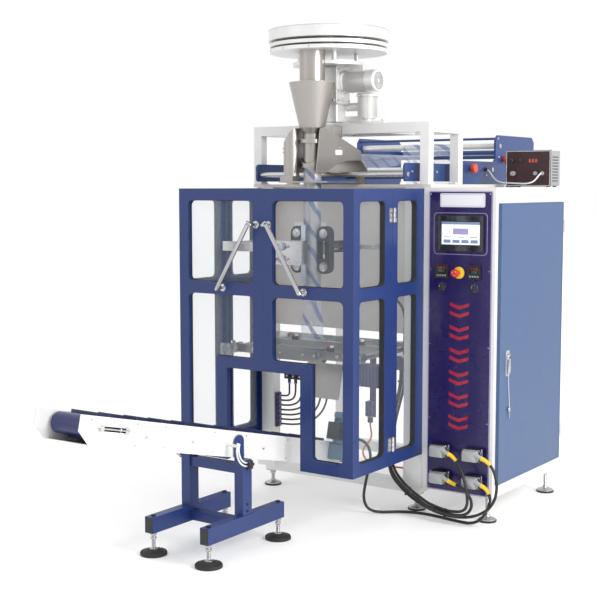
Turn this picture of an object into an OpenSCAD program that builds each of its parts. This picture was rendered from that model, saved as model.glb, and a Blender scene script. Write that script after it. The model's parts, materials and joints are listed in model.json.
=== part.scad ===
// Vertical form fill sealer with volumetric cup filler, guard cage, control
// cabinet and an inclined take-away conveyor.
// Working frame: x = 0 is the forming tube's plane, y = 0 the guard's front
// face, z = 0 the floor. Every module is then moved so that the origin is the
// middle of the bounding box's base.

/* [Guard] */
// outside width of the guard cage
guard_w = 1056; // [900:1:1200]
// depth of the guard cage
guard_d = 661; // [500:1:800]
// underside of the guard cage
guard_z0 = 321; // [250:1:400]
// top of the guard cage
guard_z1 = 1685; // [1500:1:1800]
// width of the guard's stiles and rails
guard_rail = 58; // [40:1:80]
// thickness of the guard's frames
guard_thick = 30; // [20:1:40]
// sheet thickness of the pressed frames
frame_sheet = 3; // [2:0.5:5]
// height of the split between door and fixed side panel
door_split_y = 350; // [300:1:400]
// conveyor cutout width
cut_w = 450; // [380:1:520]
// top of the conveyor cutout
cut_z = 790; // [700:1:850]
// thickness of the clear panes
pane_t = 4; // [3:1:8]
// window corner radius
win_r = 28; // [10:1:40]

/* [Cabinet] */
// left edge of the cabinet front
cab_left = 421; // [400:1:450]
// right side of the cabinet
cab_right = 928; // [880:1:1000]
// rear of the cabinet
cab_rear = 1520; // [1400:1:1600]
// underside of the cabinet
cab_z0 = 145; // [120:1:180]
// top of the cabinet
cab_z1 = 1690; // [1600:1:1750]
// cabinet sheet thickness
cab_t = 4; // [2:1:6]
// bottom of the cabinet door
cab_door_z0 = 210; // [180:1:260]
// top of the cabinet door
cab_door_z1 = 1613; // [1500:1:1650]

/* [Main frame] */
// side of the square posts
post_s = 60; // [50:1:80]
// height of the levelling feet
foot_h = 91; // [70:1:120]
// underside of the top deck
deck_z = 1690; // [1600:1:1750]
// thickness of the top deck
deck_t = 16; // [10:1:25]

/* [Forming set] */
// forming tube outside diameter
tube_d = 90; // [70:1:120]
// forming tube axis, distance behind the guard front
tube_y = 432; // [400:1:460]
// lower end of the forming tube
tube_z0 = 1110; // [1000:1:1200]
// joint between forming tube and funnel
tube_z1 = 1962; // [1900:1:2000]
// funnel rim diameter
funnel_d = 239; // [200:1:300]
// funnel rim height
funnel_z = 2222; // [2150:1:2300]

/* [Filler] */
// filler pan diameter
pan_d = 620; // [550:1:700]
// filler axis, behind the guard front
pan_y = 610; // [580:1:640]
// filler axis, sideways
pan_x = -20; // [-60:1:60]
// top of the filler pan
pan_z = 2500; // [2400:1:2600]
// top of the filler stand
stand_z = 2020; // [1950:1:2100]
// discharge chute diameter
chute_d = 130; // [100:1:160]

/* [Film unit] */
// sideways place of the film side plates
plate_x = 462; // [440:1:480]
// rear end of the film side plates
plate_rear = 2120; // [2000:1:2200]
// film web width
film_w = 320; // [280:1:360]
// film reel diameter
reel_d = 380; // [250:1:420]

/* [Conveyor] */
// outside width over the side plates
conv_w = 256; // [220:1:300]
// slope of the conveyor
conv_pitch = 13.4; // [5:0.1:20]
// tilt pivot, behind the guard front
pivot_y = -368; // [-420:1:-320]
// tilt pivot height
pivot_z = 501; // [450:1:550]
// side plate height below and above the pivot line
plate_lo = -55; // [-70:1:-40]
// side plate top above the pivot line
plate_hi = 66; // [50:1:80]
// roller radius
roll_r = 39.7; // [30:0.1:45]
// head roller place along the conveyor
head_s = -915; // [-950:1:-880]
// tail roller place along the conveyor
tail_s = 820; // [780:1:850]

/* [Hidden] */
$fn = 48;
x_lo = -551;
x_hi = cab_right + 31.5;
nose_s = -1037;
y_lo = pivot_y + nose_s * cos(conv_pitch);
y_hi = plate_rear;
origin_x = (x_lo + x_hi) / 2;
origin_y = (y_lo + y_hi) / 2;
half_w = guard_w / 2;
tube_r = tube_d / 2;
hinge_x = half_w + 9;
hinge_y = door_split_y + 1;
deck_top = deck_z + deck_t;

module placed() {
  translate([-origin_x, -origin_y, 0])
    children();
}

module bounds(x0, x1, y0, y1, z0, z1) {
  translate([x0, y0, z0])
    cube([x1 - x0, y1 - y0, z1 - z0]);
}

module rod_x(x0, x1, y, z, d) {
  translate([x0, y, z])
    rotate([0, 90, 0])
      cylinder(h = x1 - x0, d = d);
}

module rod_y(y0, y1, x, z, d) {
  translate([x, y0, z])
    rotate([-90, 0, 0])
      cylinder(h = y1 - y0, d = d);
}

module rod_z(z0, z1, x, y, d) {
  translate([x, y, z0])
    cylinder(h = z1 - z0, d = d);
}

// rounded rectangle between two corners, made of squares and circles
module rrect(a0, a1, b0, b1, r) {
  translate([a0 + r, b0])
    square([a1 - a0 - 2 * r, b1 - b0]);
  translate([a0, b0 + r])
    square([a1 - a0, b1 - b0 - 2 * r]);
  for (a = [a0 + r, a1 - r], b = [b0 + r, b1 - r])
    translate([a, b])
      circle(r = r);
}

// extrudes an x-z profile from y0 to y1
module slab_xz(y0, y1) {
  translate([0, y1, 0])
    rotate([90, 0, 0])
      linear_extrude(height = y1 - y0)
        children();
}

// extrudes a y-z profile from x0 to x1
module slab_yz(x0, x1) {
  translate([x0, 0, 0])
    rotate([90, 0, 90])
      linear_extrude(height = x1 - x0)
        children();
}

module both_sides() {
  children();
  mirror([1, 0, 0])
    children();
}

// ---------------------------------------------------------------- main frame

post_xl = -492;
post_xr = 449;
post_yf = 755;
post_yr = 1480;

module post_at(x, y, wall) {
  h = post_s / 2 - wall;
  bounds(x - h, x + h, y - h, y + h, foot_h - wall, deck_z - wall);
}

module beam_pair_x(z0, z1, wall) {
  for (y = [post_yf, post_yr])
    bounds(post_xl, post_xr, y - post_s / 2 + wall, y + post_s / 2 - wall,
      z0 + wall, z1 - wall);
}

module beam_pair_y(z0, z1, wall) {
  for (x = [post_xl, post_xr])
    bounds(x - post_s / 2 + wall, x + post_s / 2 - wall, post_yf, post_yr,
      z0 + wall, z1 - wall);
}

module frame_bars(wall) {
  for (x = [post_xl, post_xr], y = [post_yf, post_yr])
    post_at(x, y, wall);
  for (z = [foot_h, deck_z - post_s]) {
    beam_pair_x(z, z + post_s, wall);
    beam_pair_y(z, z + post_s, wall);
  }
}

// square tube frame, the tubes open at the feet, with the guard's flanges
module base_frame() {
  color([0.95, 0.95, 0.94])
    placed() {
      difference() {
        frame_bars(0);
        frame_bars(4);
      }
      for (s = [-1, 1])
        bounds(s * half_w - (s > 0 ? 110 : 0), s * half_w + (s > 0 ? 0 : 110),
          guard_d, guard_d + 4, 130, deck_z);
      for (x = [post_xl, post_xr], z = [150, 900, 1600])
        bounds(x - 3, x + 3, guard_d + 4, post_yf - post_s / 2, z, z + 60);
    }
}

module levelling_foot(x, y, top) {
  rod_z(0, 14, x, y, 96);
  translate([x, y, 14])
    cylinder(h = 12, d1 = 90, d2 = 44);
  rod_z(26, top - 6, x, y, 20);
  bounds(x - 28, x + 28, y - 28, y + 28, top - 6, top);
}

module rubber_foot(x, y, top) {
  rod_z(0, 16, x, y, 126);
  translate([x, y, 16])
    cylinder(h = 12, d1 = 120, d2 = 46);
  rod_z(28, top, x, y, 18);
  rod_z(top - 14, top, x, y, 30);
}

stand_x = 164;
stand_z0 = 107;

// steel feet under the machine and the cabinet, rubber ones under the stand
module levelling_feet() {
  color([0.35, 0.35, 0.36])
    placed() {
      for (x = [post_xl, post_xr], y = [post_yf, post_yr])
        levelling_foot(x, y, foot_h);
      for (y = [post_yf, post_yr])
        levelling_foot(cab_right - 70, y, cab_z0);
      for (x = [-stand_x, stand_x], y = [-626, -99])
        rubber_foot(x, y, stand_z0);
    }
}

module top_deck() {
  color([0.84, 0.82, 0.79])
    placed()
      difference() {
        bounds(-551, 565, guard_d, cab_rear, deck_z, deck_top);
        bounds(-330, 330, 1080, 1400, deck_z - 1, deck_top + 1);
      }
}

// panel behind the forming tube, ending above the jaws' drive
module back_panel() {
  color([0.80, 0.77, 0.74])
    placed()
      bounds(post_xl + post_s / 2, post_xr - post_s / 2, post_yf - 30, post_yf - 26,
        930, deck_z - post_s);
}

// ------------------------------------------------------------------- cabinet

panel_x0 = 560;
panel_x1 = 910;
panel_z0 = 150;
panel_z1 = 1672;
wall_x = post_xr + post_s / 2 + 2;

module cabinet_shell() {
  color([0.95, 0.95, 0.94])
    placed() {
      // front with its return flange to the guard
      bounds(half_w + 2, cab_right, guard_d, guard_d + cab_t, cab_z0, cab_z1);
      // left wall, rear wall, floor and roof
      bounds(wall_x, wall_x + cab_t, guard_d + cab_t + 6, cab_rear, cab_z0, cab_z1);
      bounds(wall_x, half_w + 2 + cab_t, guard_d + cab_t, guard_d + cab_t + 6, cab_z0, cab_z1);
      bounds(half_w + 2, half_w + 2 + cab_t, guard_d, guard_d + cab_t, cab_z0, cab_z1);
      bounds(wall_x, cab_right, cab_rear - cab_t, cab_rear, cab_z0, cab_z1);
      bounds(wall_x, cab_right, guard_d + cab_t, cab_rear, cab_z0, cab_z0 + cab_t);
      bounds(wall_x, cab_right, guard_d + cab_t, cab_rear, cab_z1 - cab_t, cab_z1);
      // right wall around the door opening
      difference() {
        bounds(cab_right - cab_t, cab_right, guard_d, cab_rear, cab_z0, cab_z1);
        bounds(cab_right - cab_t - 1, cab_right + 1, 712, 1435,
          cab_door_z0 + 22, cab_door_z1 - 22);
      }
      cabinet_hinge_fixed(362);
      cabinet_hinge_fixed(1483);
    }
}

cab_hinge_x = cab_right + 12;
cab_hinge_y = 1469;

// middle knuckle, leaf and pin of one cabinet hinge
module cabinet_hinge_fixed(z) {
  difference() {
    union() {
      bounds(cab_right, cab_right + 3, cab_hinge_y + 6, cab_hinge_y + 36, z - 35, z + 35);
      bounds(cab_right, cab_hinge_x, cab_hinge_y, cab_hinge_y + 9, z - 11, z + 11);
      rod_z(z - 11, z + 11, cab_hinge_x, cab_hinge_y, 16);
    }
  }
  rod_z(z - 34, z + 34, cab_hinge_x, cab_hinge_y, 8);
}

module cabinet_hinge_moving(z) {
  for (s = [-1, 1])
    difference() {
      union() {
        rod_z(z + s * 22.5 - 10, z + s * 22.5 + 10, cab_hinge_x, cab_hinge_y, 16);
        bounds(cab_hinge_x - 8, cab_hinge_x, 1452, cab_hinge_y, z + s * 22.5 - 10,
          z + s * 22.5 + 10);
      }
      rod_z(z - 36, z + 36, cab_hinge_x, cab_hinge_y, 8.1);
    }
}

handle_y = 780;
handle_z = 845;

// folded sheet door that covers the right side's opening
module cabinet_door() {
  x0 = cab_right + 0.5;
  color([0.30, 0.45, 0.68])
    placed()
      difference() {
        union() {
          difference() {
            bounds(x0, x0 + 17, 690, 1457, cab_door_z0, cab_door_z1);
            bounds(x0 - 1, x0 + 14, 693, 1454, cab_door_z0 + 3, cab_door_z1 - 3);
          }
          cabinet_hinge_moving(362);
          cabinet_hinge_moving(1483);
        }
        rod_x(x0 - 1, x0 + 20, handle_y, handle_z, 20.1);
      }
}

// swing handle on a plate, turning on its lock spindle
module cabinet_handle() {
  x0 = cab_right + 0.5;
  color([0.78, 0.78, 0.80])
    placed() {
      rod_x(x0 - 14, x0 + 18, handle_y, handle_z, 20);
      rod_x(x0 + 17.3, x0 + 27, handle_y, handle_z, 34);
      bounds(x0 + 19, x0 + 31, handle_y - 12, handle_y + 12, 762, handle_z);
      bounds(x0 - 14, x0 - 9, handle_y - 12, handle_y + 12, handle_z - 60, handle_z + 12);
    }
}

// the front panel's upper part leans back a little behind its face
module front_panel() {
  color([0.16, 0.10, 0.33])
    placed()
      difference() {
        slab_xz(guard_d - 3, guard_d)
          rrect(panel_x0, panel_x1, panel_z0, panel_z1, 6);
        for (x = [638, 818])
          rod_y(guard_d - 5, guard_d + 1, x, 1192, 12.2);
      }
}

panel_f = guard_d - 3;

// blank label plate and a column of plain bars
module panel_labels() {
  color([0.93, 0.93, 0.95])
    placed() {
      slab_xz(panel_f - 1.5, panel_f)
        rrect(623, 871, 1593, 1661, 8);
      for (k = [0:5])
        slab_xz(panel_f - 1.5, panel_f)
          rrect(682, 790, 470 + k * 114, 548 + k * 114, 6);
    }
}

// bezel of the operator panel and the two temperature controllers below it
module operator_displays() {
  color([0.05, 0.05, 0.06])
    placed() {
      difference() {
        slab_xz(panel_f - 12, panel_f)
          rrect(618, 868, 1374, 1552, 8);
        bounds(637, 849, panel_f - 13, panel_f - 8, 1407, 1520);
      }
      for (x = [637, 818])
        difference() {
          slab_xz(panel_f - 10, panel_f)
            rrect(x - 35, x + 35, 1237, 1306, 3);
          bounds(x - 27, x + 27, panel_f - 11, panel_f - 9, 1266, 1296);
        }
    }
}

module hmi_screen() {
  color([0.92, 0.95, 0.96])
    placed()
      bounds(637.5, 848.5, panel_f - 10, panel_f - 8, 1407.5, 1519.5);
}

estop_x = 732;
estop_z = 1267;

// emergency stop head sliding on its collar's guide pin
module estop_button() {
  color([0.80, 0.08, 0.08])
    placed() {
      difference() {
        rod_y(panel_f - 46, panel_f - 16, estop_x, estop_z, 27);
        rod_y(panel_f - 40, panel_f - 10, estop_x, estop_z, 16.1);
      }
      rod_y(panel_f - 54, panel_f - 42, estop_x, estop_z, 42);
    }
}

module selector_knob(x) {
  color([0.10, 0.10, 0.11])
    placed() {
      rod_y(panel_f - 9, panel_f + 2.9, x, 1192, 12.1);
      rod_y(panel_f - 24, panel_f - 2, x, 1192, 32);
      bounds(x - 4, x + 4, panel_f - 32, panel_f - 20, 1177, 1207);
    }
}

module knob_left() {
  selector_knob(638);
}

module knob_right() {
  selector_knob(818);
}

module heavy_connector(x, z) {
  bounds(x - 46, x + 46, panel_f - 30, panel_f, z - 33, z + 33);
  bounds(x - 40, x + 40, panel_f - 68, panel_f - 30, z - 28, z + 28);
  // gland, leaning down towards its cable
  translate([x + 36, gland_y, z - 1 + 31 * tan(gland_tilt)])
    rotate([0, 90 + gland_tilt, 0])
      cylinder(h = 31 / cos(gland_tilt), d = 22);
  bounds(x + 46, x + 58, panel_f - 26, panel_f - 20, z - 22, z + 38);
}

plug_x = [643, 828];
plug_z = [222, 358];
gland_y = panel_f - 56;
gland_tilt = atan(8 / 20);

// four heavy duty plugs and the emergency stop's yellow collar
module connectors() {
  color([0.62, 0.63, 0.64])
    placed() {
      for (x = plug_x, z = plug_z)
        heavy_connector(x, z);
      rod_y(panel_f - 10, panel_f, estop_x, estop_z, 60);
      rod_y(panel_f - 30, panel_f - 10, estop_x, estop_z, 16);
    }
}

// --------------------------------------------------------------------- guard

// front face outline of the right-hand door, shrunk by the inset e
module door_face(e) {
  difference() {
    union() {
      translate([0.5 + e, cut_z + e])
        square([half_w - 0.5 - 2 * e, guard_z1 - cut_z - 2 * e]);
      translate([cut_w / 2 + e, guard_z0 + e])
        square([half_w - cut_w / 2 - 2 * e, guard_z1 - guard_z0 - 2 * e]);
    }
    door_windows(e);
  }
}

// openings of the door's front, grown by e
module door_windows(e) {
  x0 = guard_rail - e;
  x1 = half_w - guard_rail + e;
  rrect(x0, x1, 1217 - e, guard_z1 - guard_rail + e, win_r);
  rrect(x0, x1, cut_z + 55 - e, 1157 + e, win_r);
  rrect(cut_w / 2 + 67 - e, x1, guard_z0 + 60 - e, 1157 + e, win_r);
}

// y-z outline of a side frame between y0 and y1 with windows between w0 and w1
module side_face(y0, y1, w0, w1, e) {
  difference() {
    translate([y0 + e, guard_z0 + e])
      square([y1 - y0 - 2 * e, guard_z1 - guard_z0 - 2 * e]);
    side_windows(w0, w1, e);
  }
}

module side_windows(w0, w1, e) {
  rrect(w0 - e, w1 + e, 1217 - e, guard_z1 - guard_rail + e, win_r);
  rrect(w0 - e, w1 + e, guard_z0 + 60 - e, 1157 + e, win_r);
}

// L-shaped door: pressed channel frames, open towards the inside
module door_right_solid() {
  difference() {
    union() {
      slab_xz(0, guard_thick)
        door_face(0);
      slab_yz(half_w - guard_thick, half_w)
        side_face(0, door_split_y, 53, 282, 0);
    }
    slab_xz(frame_sheet, guard_thick + 1)
      intersection() {
        door_face(frame_sheet);
        translate([0, guard_z0])
          square([half_w - guard_thick, guard_z1 - guard_z0]);
      }
    slab_yz(half_w - guard_thick - 1, half_w - frame_sheet)
      intersection() {
        side_face(0, door_split_y, 53, 282, frame_sheet);
        translate([guard_thick, guard_z0])
          square([door_split_y, guard_z1 - guard_z0]);
      }
  }
  for (z = [428, 1556])
    guard_hinge_moving(z);
}

module guard_hinge_moving(z) {
  difference() {
    union() {
      bounds(half_w, half_w + 3, hinge_y - 34, hinge_y - 8.5, z - 34, z + 34);
      for (s = [-1, 1]) {
        rod_z(z + s * 23 - 11, z + s * 23 + 11, hinge_x, hinge_y, 14);
        bounds(half_w, hinge_x, hinge_y - 9, hinge_y - 1.5, z + s * 23 - 11, z + s * 23 + 11);
      }
    }
    rod_z(z - 40, z + 40, hinge_x, hinge_y, 8.1);
  }
}

module guard_hinge_fixed(z) {
  bounds(half_w, half_w + 3, hinge_y + 8.5, hinge_y + 34, z - 34, z + 34);
  bounds(half_w, hinge_x, hinge_y + 1.5, hinge_y + 9, z - 11, z + 11);
  rod_z(z - 11, z + 11, hinge_x, hinge_y, 14);
  rod_z(z - 34, z + 34, hinge_x, hinge_y, 8);
}

module guard_door_right() {
  color([0.20, 0.33, 0.62])
    placed()
      door_right_solid();
}

module guard_door_left() {
  color([0.20, 0.33, 0.62])
    placed()
      mirror([1, 0, 0])
        door_right_solid();
}

// clear panes behind the front and side windows of one door
module door_panes_solid() {
  slab_xz(guard_thick, guard_thick + pane_t) {
    rrect(guard_rail - 14, half_w - guard_rail + 12, 1203, guard_z1 - 44, 8);
    rrect(guard_rail - 14, half_w - guard_rail + 12, cut_z + 41, 1171, 8);
    rrect(cut_w / 2 + 53, half_w - guard_rail + 12, guard_z0 + 46, 1171, 8);
  }
  slab_yz(half_w - guard_thick - pane_t, half_w - guard_thick) {
    rrect(39, 296, 1203, guard_z1 - 44, 8);
    rrect(39, 296, guard_z0 + 46, 1171, 8);
  }
}

module door_panes_right() {
  color([0.85, 0.90, 0.93, 0.25])
    placed()
      door_panes_solid();
}

module door_panes_left() {
  color([0.85, 0.90, 0.93, 0.25])
    placed()
      mirror([1, 0, 0])
        door_panes_solid();
}

// slanted chrome bar on two standoffs, from a high inner to a low outer point
handle_top = [58, 1508];
handle_low = [250, 1188];

module door_handle_solid() {
  dx = handle_low[0] - handle_top[0];
  dz = handle_low[1] - handle_top[1];
  reach = sqrt(dx * dx + dz * dz);
  tilt = atan2(dx, dz);
  translate([handle_top[0], -44, handle_top[1]])
    rotate([0, tilt, 0])
      cylinder(h = reach, d = 22);
  rod_y(-44, 0, 37, 1510, 14);
  rod_x(37, handle_top[0], -44, 1510, 16);
  rod_y(-44, 0, 246, 1192, 14);
}

module door_handle_right() {
  color([0.80, 0.80, 0.82])
    placed()
      door_handle_solid();
}

module door_handle_left() {
  color([0.80, 0.80, 0.82])
    placed()
      mirror([1, 0, 0])
        door_handle_solid();
}

// fixed rear parts of both guard sides with the hinges' fixed leaves
module guard_sides() {
  color([0.20, 0.33, 0.62])
    placed()
      both_sides() {
        difference() {
          slab_yz(half_w - guard_thick, half_w)
            side_face(door_split_y + 2, guard_d, 400, 590, 0);
          slab_yz(half_w - guard_thick - 1, half_w - frame_sheet)
            side_face(door_split_y + 2, guard_d, 400, 590, frame_sheet);
        }
        for (z = [428, 1556])
          guard_hinge_fixed(z);
      }
}

module guard_side_panes() {
  color([0.85, 0.90, 0.93, 0.25])
    placed()
      both_sides()
        slab_yz(half_w - guard_thick - pane_t, half_w - guard_thick) {
          rrect(386, 604, 1203, guard_z1 - 44, 8);
          rrect(386, 604, guard_z0 + 46, 1171, 8);
        }
}

// -------------------------------------------------------------------- filler

stand_x1 = 550;
stand_y0 = 665;
stand_y1 = 1035;
stand_s = 50;

// open frame of square tube that carries the filler
module filler_stand() {
  h = stand_s;
  color([0.94, 0.94, 0.93])
    placed() {
      for (x = [-stand_x1, stand_x1 - h], y = [stand_y0, stand_y1 - h])
        bounds(x, x + h, y, y + h, deck_top, stand_z - h);
      for (y = [stand_y0, stand_y1 - h])
        bounds(-stand_x1, stand_x1, y, y + h, stand_z - h, stand_z);
      for (x = [-stand_x1, stand_x1 - h])
        bounds(x, x + h, stand_y0 + h, stand_y1 - h, stand_z - h, stand_z);
      bounds(-150, -150 + h, stand_y0 + h, stand_y1 - h, stand_z - h, stand_z);
      bounds(240, 240 + h, stand_y0 + h, stand_y1 - h, stand_z - h, stand_z);
    }
}

pan_r = pan_d / 2;
pan_h = 58;
hub_d = 80;
cup_r = 171;
carrier_z = 2317;
base_z = 2383;

// fixed lower disc, column and the open pan above the turret
module filler_carrier() {
  color([0.86, 0.86, 0.85])
    placed()
      translate([pan_x, pan_y, 0]) {
        difference() {
          translate([0, 0, carrier_z])
            cylinder(h = 18, d = 370);
          translate([-pan_x, tube_y - pan_y, carrier_z - 1])
            cylinder(h = 20, d = chute_d + 4);
        }
        for (a = [45, 135, 225, 315])
          rotate([0, 0, a])
            translate([150, 0, carrier_z + 18])
              cylinder(h = base_z - carrier_z - 18, d = 26);
        difference() {
          translate([0, 0, base_z])
            cylinder(h = 19, r = pan_r - 5);
          translate([-pan_x, tube_y - pan_y, base_z - 1])
            cylinder(h = 21, d = chute_d - 6);
        }
        translate([0, 0, base_z + 18])
          cylinder(h = pan_z - pan_h - base_z - 18, d = hub_d);
        difference() {
          translate([0, 0, pan_z - pan_h])
            cylinder(h = pan_h, r = pan_r);
          translate([0, 0, pan_z - pan_h + 3])
            cylinder(h = pan_h, r = pan_r - 3);
          for (a = [0:60:299])
            rotate([0, 0, a])
              translate([cup_r, 0, pan_z - pan_h - 1])
                cylinder(h = 5, r = 44);
        }
      }
}

// turning disc with six measuring cups
module dosing_turret() {
  color([0.82, 0.82, 0.81])
    placed()
      translate([pan_x, pan_y, 0])
        difference() {
          union() {
            translate([0, 0, 2412])
              cylinder(h = 18, r = pan_r - 5);
            for (a = [0:60:300])
              rotate([0, 0, a])
                translate([cup_r, 0, 2403])
                  cylinder(h = 37, r = 50);
          }
          translate([0, 0, 2400])
            cylinder(h = 50, d = hub_d + 0.1);
          for (a = [0:60:300])
            rotate([0, 0, a])
              translate([cup_r, 0, 2402])
                cylinder(h = 50, r = 46);
        }
}

// gear case, pedestal and the two motors that drive the turret
module filler_drive() {
  color([0.84, 0.84, 0.83])
    placed() {
      bounds(-100, 290, stand_y0, stand_y1, stand_z, stand_z + 12);
      bounds(-60, 55, 570, 700, 2120, carrier_z);
      bounds(-45, 40, 600, 690, stand_z + 12, 2120);
      bounds(-60, 150, 665, 700, 2030, 2060);
      rod_x(55, 205, 650, 2236, 104);
      rod_x(205, 262, 650, 2236, 114);
      bounds(55, 78, 590, 700, 2176, 2296);
      rod_z(2044, 2160, 165, 700, 96);
      rod_z(2160, 2178, 165, 700, 116);
      rod_z(stand_z + 12, 2044, 165, 700, 60);
      rod_x(40, 165, 700, 2110, 44);
    }
}

funnel_neck_z = 1993;
funnel_neck_d = 132;

// steep funnel with a short cone down to the forming tube
// funnel in the forming tube's mouth and the short chute above it
module product_funnel() {
  t = 2;
  color([0.72, 0.68, 0.64])
    placed() {
      translate([0, tube_y, 0])
        difference() {
          union() {
            translate([0, 0, funnel_neck_z])
              cylinder(h = funnel_z - funnel_neck_z, d1 = funnel_neck_d, d2 = funnel_d);
            translate([0, 0, tube_z1])
              cylinder(h = funnel_neck_z - tube_z1, d1 = tube_d, d2 = funnel_neck_d);
          }
          translate([0, 0, funnel_neck_z])
            cylinder(h = funnel_z - funnel_neck_z + 0.01, d1 = funnel_neck_d - 2 * t,
              d2 = funnel_d - 2 * t);
          translate([0, 0, tube_z1 - 0.01])
            cylinder(h = funnel_neck_z - tube_z1 + 0.02, d1 = tube_d - 2 * t,
              d2 = funnel_neck_d - 2 * t);
        }
      translate([0, tube_y, 0])
        difference() {
          translate([0, 0, funnel_z + 6])
            cylinder(h = base_z - funnel_z - 6, d = chute_d);
          translate([0, 0, funnel_z + 5])
            cylinder(h = base_z - funnel_z, d = chute_d - 6);
        }
    }
}

// --------------------------------------------------------------- forming set

// product tube with its clamp arm to the deck
module forming_tube() {
  color([0.74, 0.71, 0.68])
    placed()
      difference() {
        rod_z(tube_z0, tube_z1, 0, tube_y, tube_d);
        rod_z(tube_z0 - 1, tube_z1 + 1, 0, tube_y, tube_d - 4);
      }
}

sleeve_z0 = 1790;
sleeve_z1 = 1842;
shoulder_z = 1714;
roller_z = 1757;

// clamp ring of the forming tube with its bracket on the stand
module tube_clamp() {
  difference() {
    union() {
      rod_z(1915, 1935, 0, tube_y, tube_d + 36);
      bounds(-30, 30, tube_y, stand_y0, 1915, 1935);
    }
    rod_z(1914, 1936, 0, tube_y, tube_d);
  }
  bounds(-30, 30, stand_y0 - 8, stand_y0, 1915, stand_z - 10);
}

// collar around the tube, its two wings, the column at its left and the clamp
module forming_shoulder() {
  color([0.76, 0.73, 0.70])
    placed() {
      tube_clamp();
      difference() {
        union() {
          rod_z(sleeve_z0, sleeve_z1, 0, tube_y, 112);
          bounds(-72, 72, tube_y + 52, tube_y + 60, sleeve_z0, sleeve_z0 + 40);
        }
        rod_z(sleeve_z0 - 1, sleeve_z1 + 1, 0, tube_y, 106);
        translate([0, tube_y - 60, sleeve_z0 + 18])
          rotate([40, 0, 0])
            bounds(-70, 70, -60, 120, 0, 120);
      }
      difference() {
        bounds(-150, 150, 345, mouth_y, shoulder_z, shoulder_z + 8);
        rod_z(shoulder_z - 1, shoulder_z + 9, 0, tube_y, 106);
      }
      for (x = [-150, 120])
        bounds(x, x + 30, guard_d + 4, 700, deck_top, shoulder_z);
      shoulder_wing();
      mirror([1, 0, 0])
        shoulder_wing();
      shoulder_column();
      shoulder_arch();
    }
}

// sheet wing that rises from the collar to its top corner and runs back to the arch
module shoulder_wing() {
  translate([62, 372, 1765])
    rotate([0, 0, -7])
      slab_yz(0, 3)
        difference() {
          polygon([[0, 0], [30, 222], [60, 232], [358, 116], [358, 64], [330, 66],
            [240, 62], [150, 40], [80, 0]]);
          translate([190, 130])
            circle(d = 10);
        }
}

// half round column with a slanted top and two clamp bolts
module shoulder_column() {
  difference() {
    rod_z(1748, 1992, -106, 398, 82);
    rod_z(1747, 1993, -106, 398, 76);
    bounds(-147, -62, 412, 450, 1747, 1993);
    translate([-150, 330, 1896])
      rotate([0, -52, 0])
        bounds(0, 120, 0, 140, 0, 90);
  }
  bounds(-145, -66, 350, 412, shoulder_z + 8, 1748);
  for (z = [1870, 1890])
    rod_x(-158, -143, 396, z, 9);
}

mouth_r = 159;
mouth_z = 1711;
mouth_y = 745;

// rim around the mouth under the film, standing on a cross sheet
module shoulder_arch() {
  slab_xz(mouth_y - 14, mouth_y)
    difference() {
      translate([0, mouth_z])
        circle(r = mouth_r);
      translate([0, mouth_z])
        circle(r = mouth_r - 4);
      translate([-200, mouth_z - 200])
        square([400, 244]);
    }
  slab_xz(mouth_y - 3, mouth_y)
    difference() {
      translate([0, mouth_z])
        circle(r = mouth_r - 4);
      translate([-200, mouth_z - 200])
        square([400, 244]);
    }
  bounds(-153, 153, 622, mouth_y, 1748, 1755);
  for (x = [-150, 120])
    bounds(x, x + 30, 660, 700, shoulder_z + 8, 1748);
}

// ----------------------------------------------------------------- film unit

plate_t = 12;
low_y0 = 570;
high_y0 = 1600;
high_z1 = 1986;
axle_d = 16;

module plate_outline() {
  polygon([[low_y0, 1733], [low_y0 + 12, 1721], [1090, 1721], [1110, deck_top],
    [plate_rear - 22, deck_top], [plate_rear, deck_top + 22], [plate_rear, high_z1 - 30],
    [plate_rear - 30, high_z1], [high_y0 + 26, high_z1], [high_y0, high_z1 - 26],
    [high_y0, 1850], [high_y0 - 16, 1834], [1186, 1834], [1166, 1814],
    [low_y0 + 14, 1814], [low_y0, 1800]]);
}

roller_low = [1560, 1790];
roller_high = [1655, 1925];
reel_y = 1840;
reel_z = 1240;
knob_front = [1290, 1793];
knob_rear = [1700, 1850];

// one side of the film unit: plate, cross ties' ends and the reel's arm
module film_side() {
  x0 = plate_x - plate_t / 2;
  difference() {
    union() {
      slab_yz(x0, x0 + plate_t)
        plate_outline();
      // arm that carries the reel, hanging behind the main frame
      slab_yz(x0, x0 + plate_t)
        polygon([[1760, 1740], [1920, 1740], [1890, reel_z - 45], [1790, reel_z - 45]]);
    }
    rod_x(x0 - 1, x0 + plate_t + 1, knob_front[0], knob_front[1], 12.1);
    rod_x(x0 - 1, x0 + plate_t + 1, knob_rear[0], knob_rear[1], 12.1);
    rod_x(x0 - 1, x0 + plate_t + 1, reel_y, reel_z, 30.1);
    rod_x(x0 - 1, x0 + plate_t + 1, 600, roller_z, axle_d + 0.1);
    rod_x(x0 - 1, x0 + plate_t + 1, roller_low[0], roller_low[1], axle_d + 0.1);
    rod_x(x0 - 1, x0 + plate_t + 1, roller_high[0], roller_high[1], axle_d + 0.1);
  }
}

// two blue plates with their tie bars and the fixed guide bars between them
module film_side_plates() {
  reach = plate_x - plate_t / 2;
  color([0.24, 0.38, 0.66])
    placed() {
      both_sides()
        film_side();
      rod_x(-reach, reach, 1625, 1966, 14);
      rod_x(-reach, reach, 1640, 1862, 22);
      rod_x(-reach, reach, 2060, 1900, 30);
      bounds(-reach, reach, 1460, 1500, 1738, 1778);
      bounds(-reach, reach, 1800, 1830, 1560, 1600);
    }
}

module free_roller(y, z, d) {
  rod_x(-reach_r, reach_r, y, z, d);
  rod_x(-plate_x - 5, plate_x + 5, y, z, axle_d);
}

reach_r = plate_x - plate_t / 2 - 4;

module shoulder_roller() {
  color([0.80, 0.80, 0.80])
    placed()
      free_roller(600, roller_z, 28);
}

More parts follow.
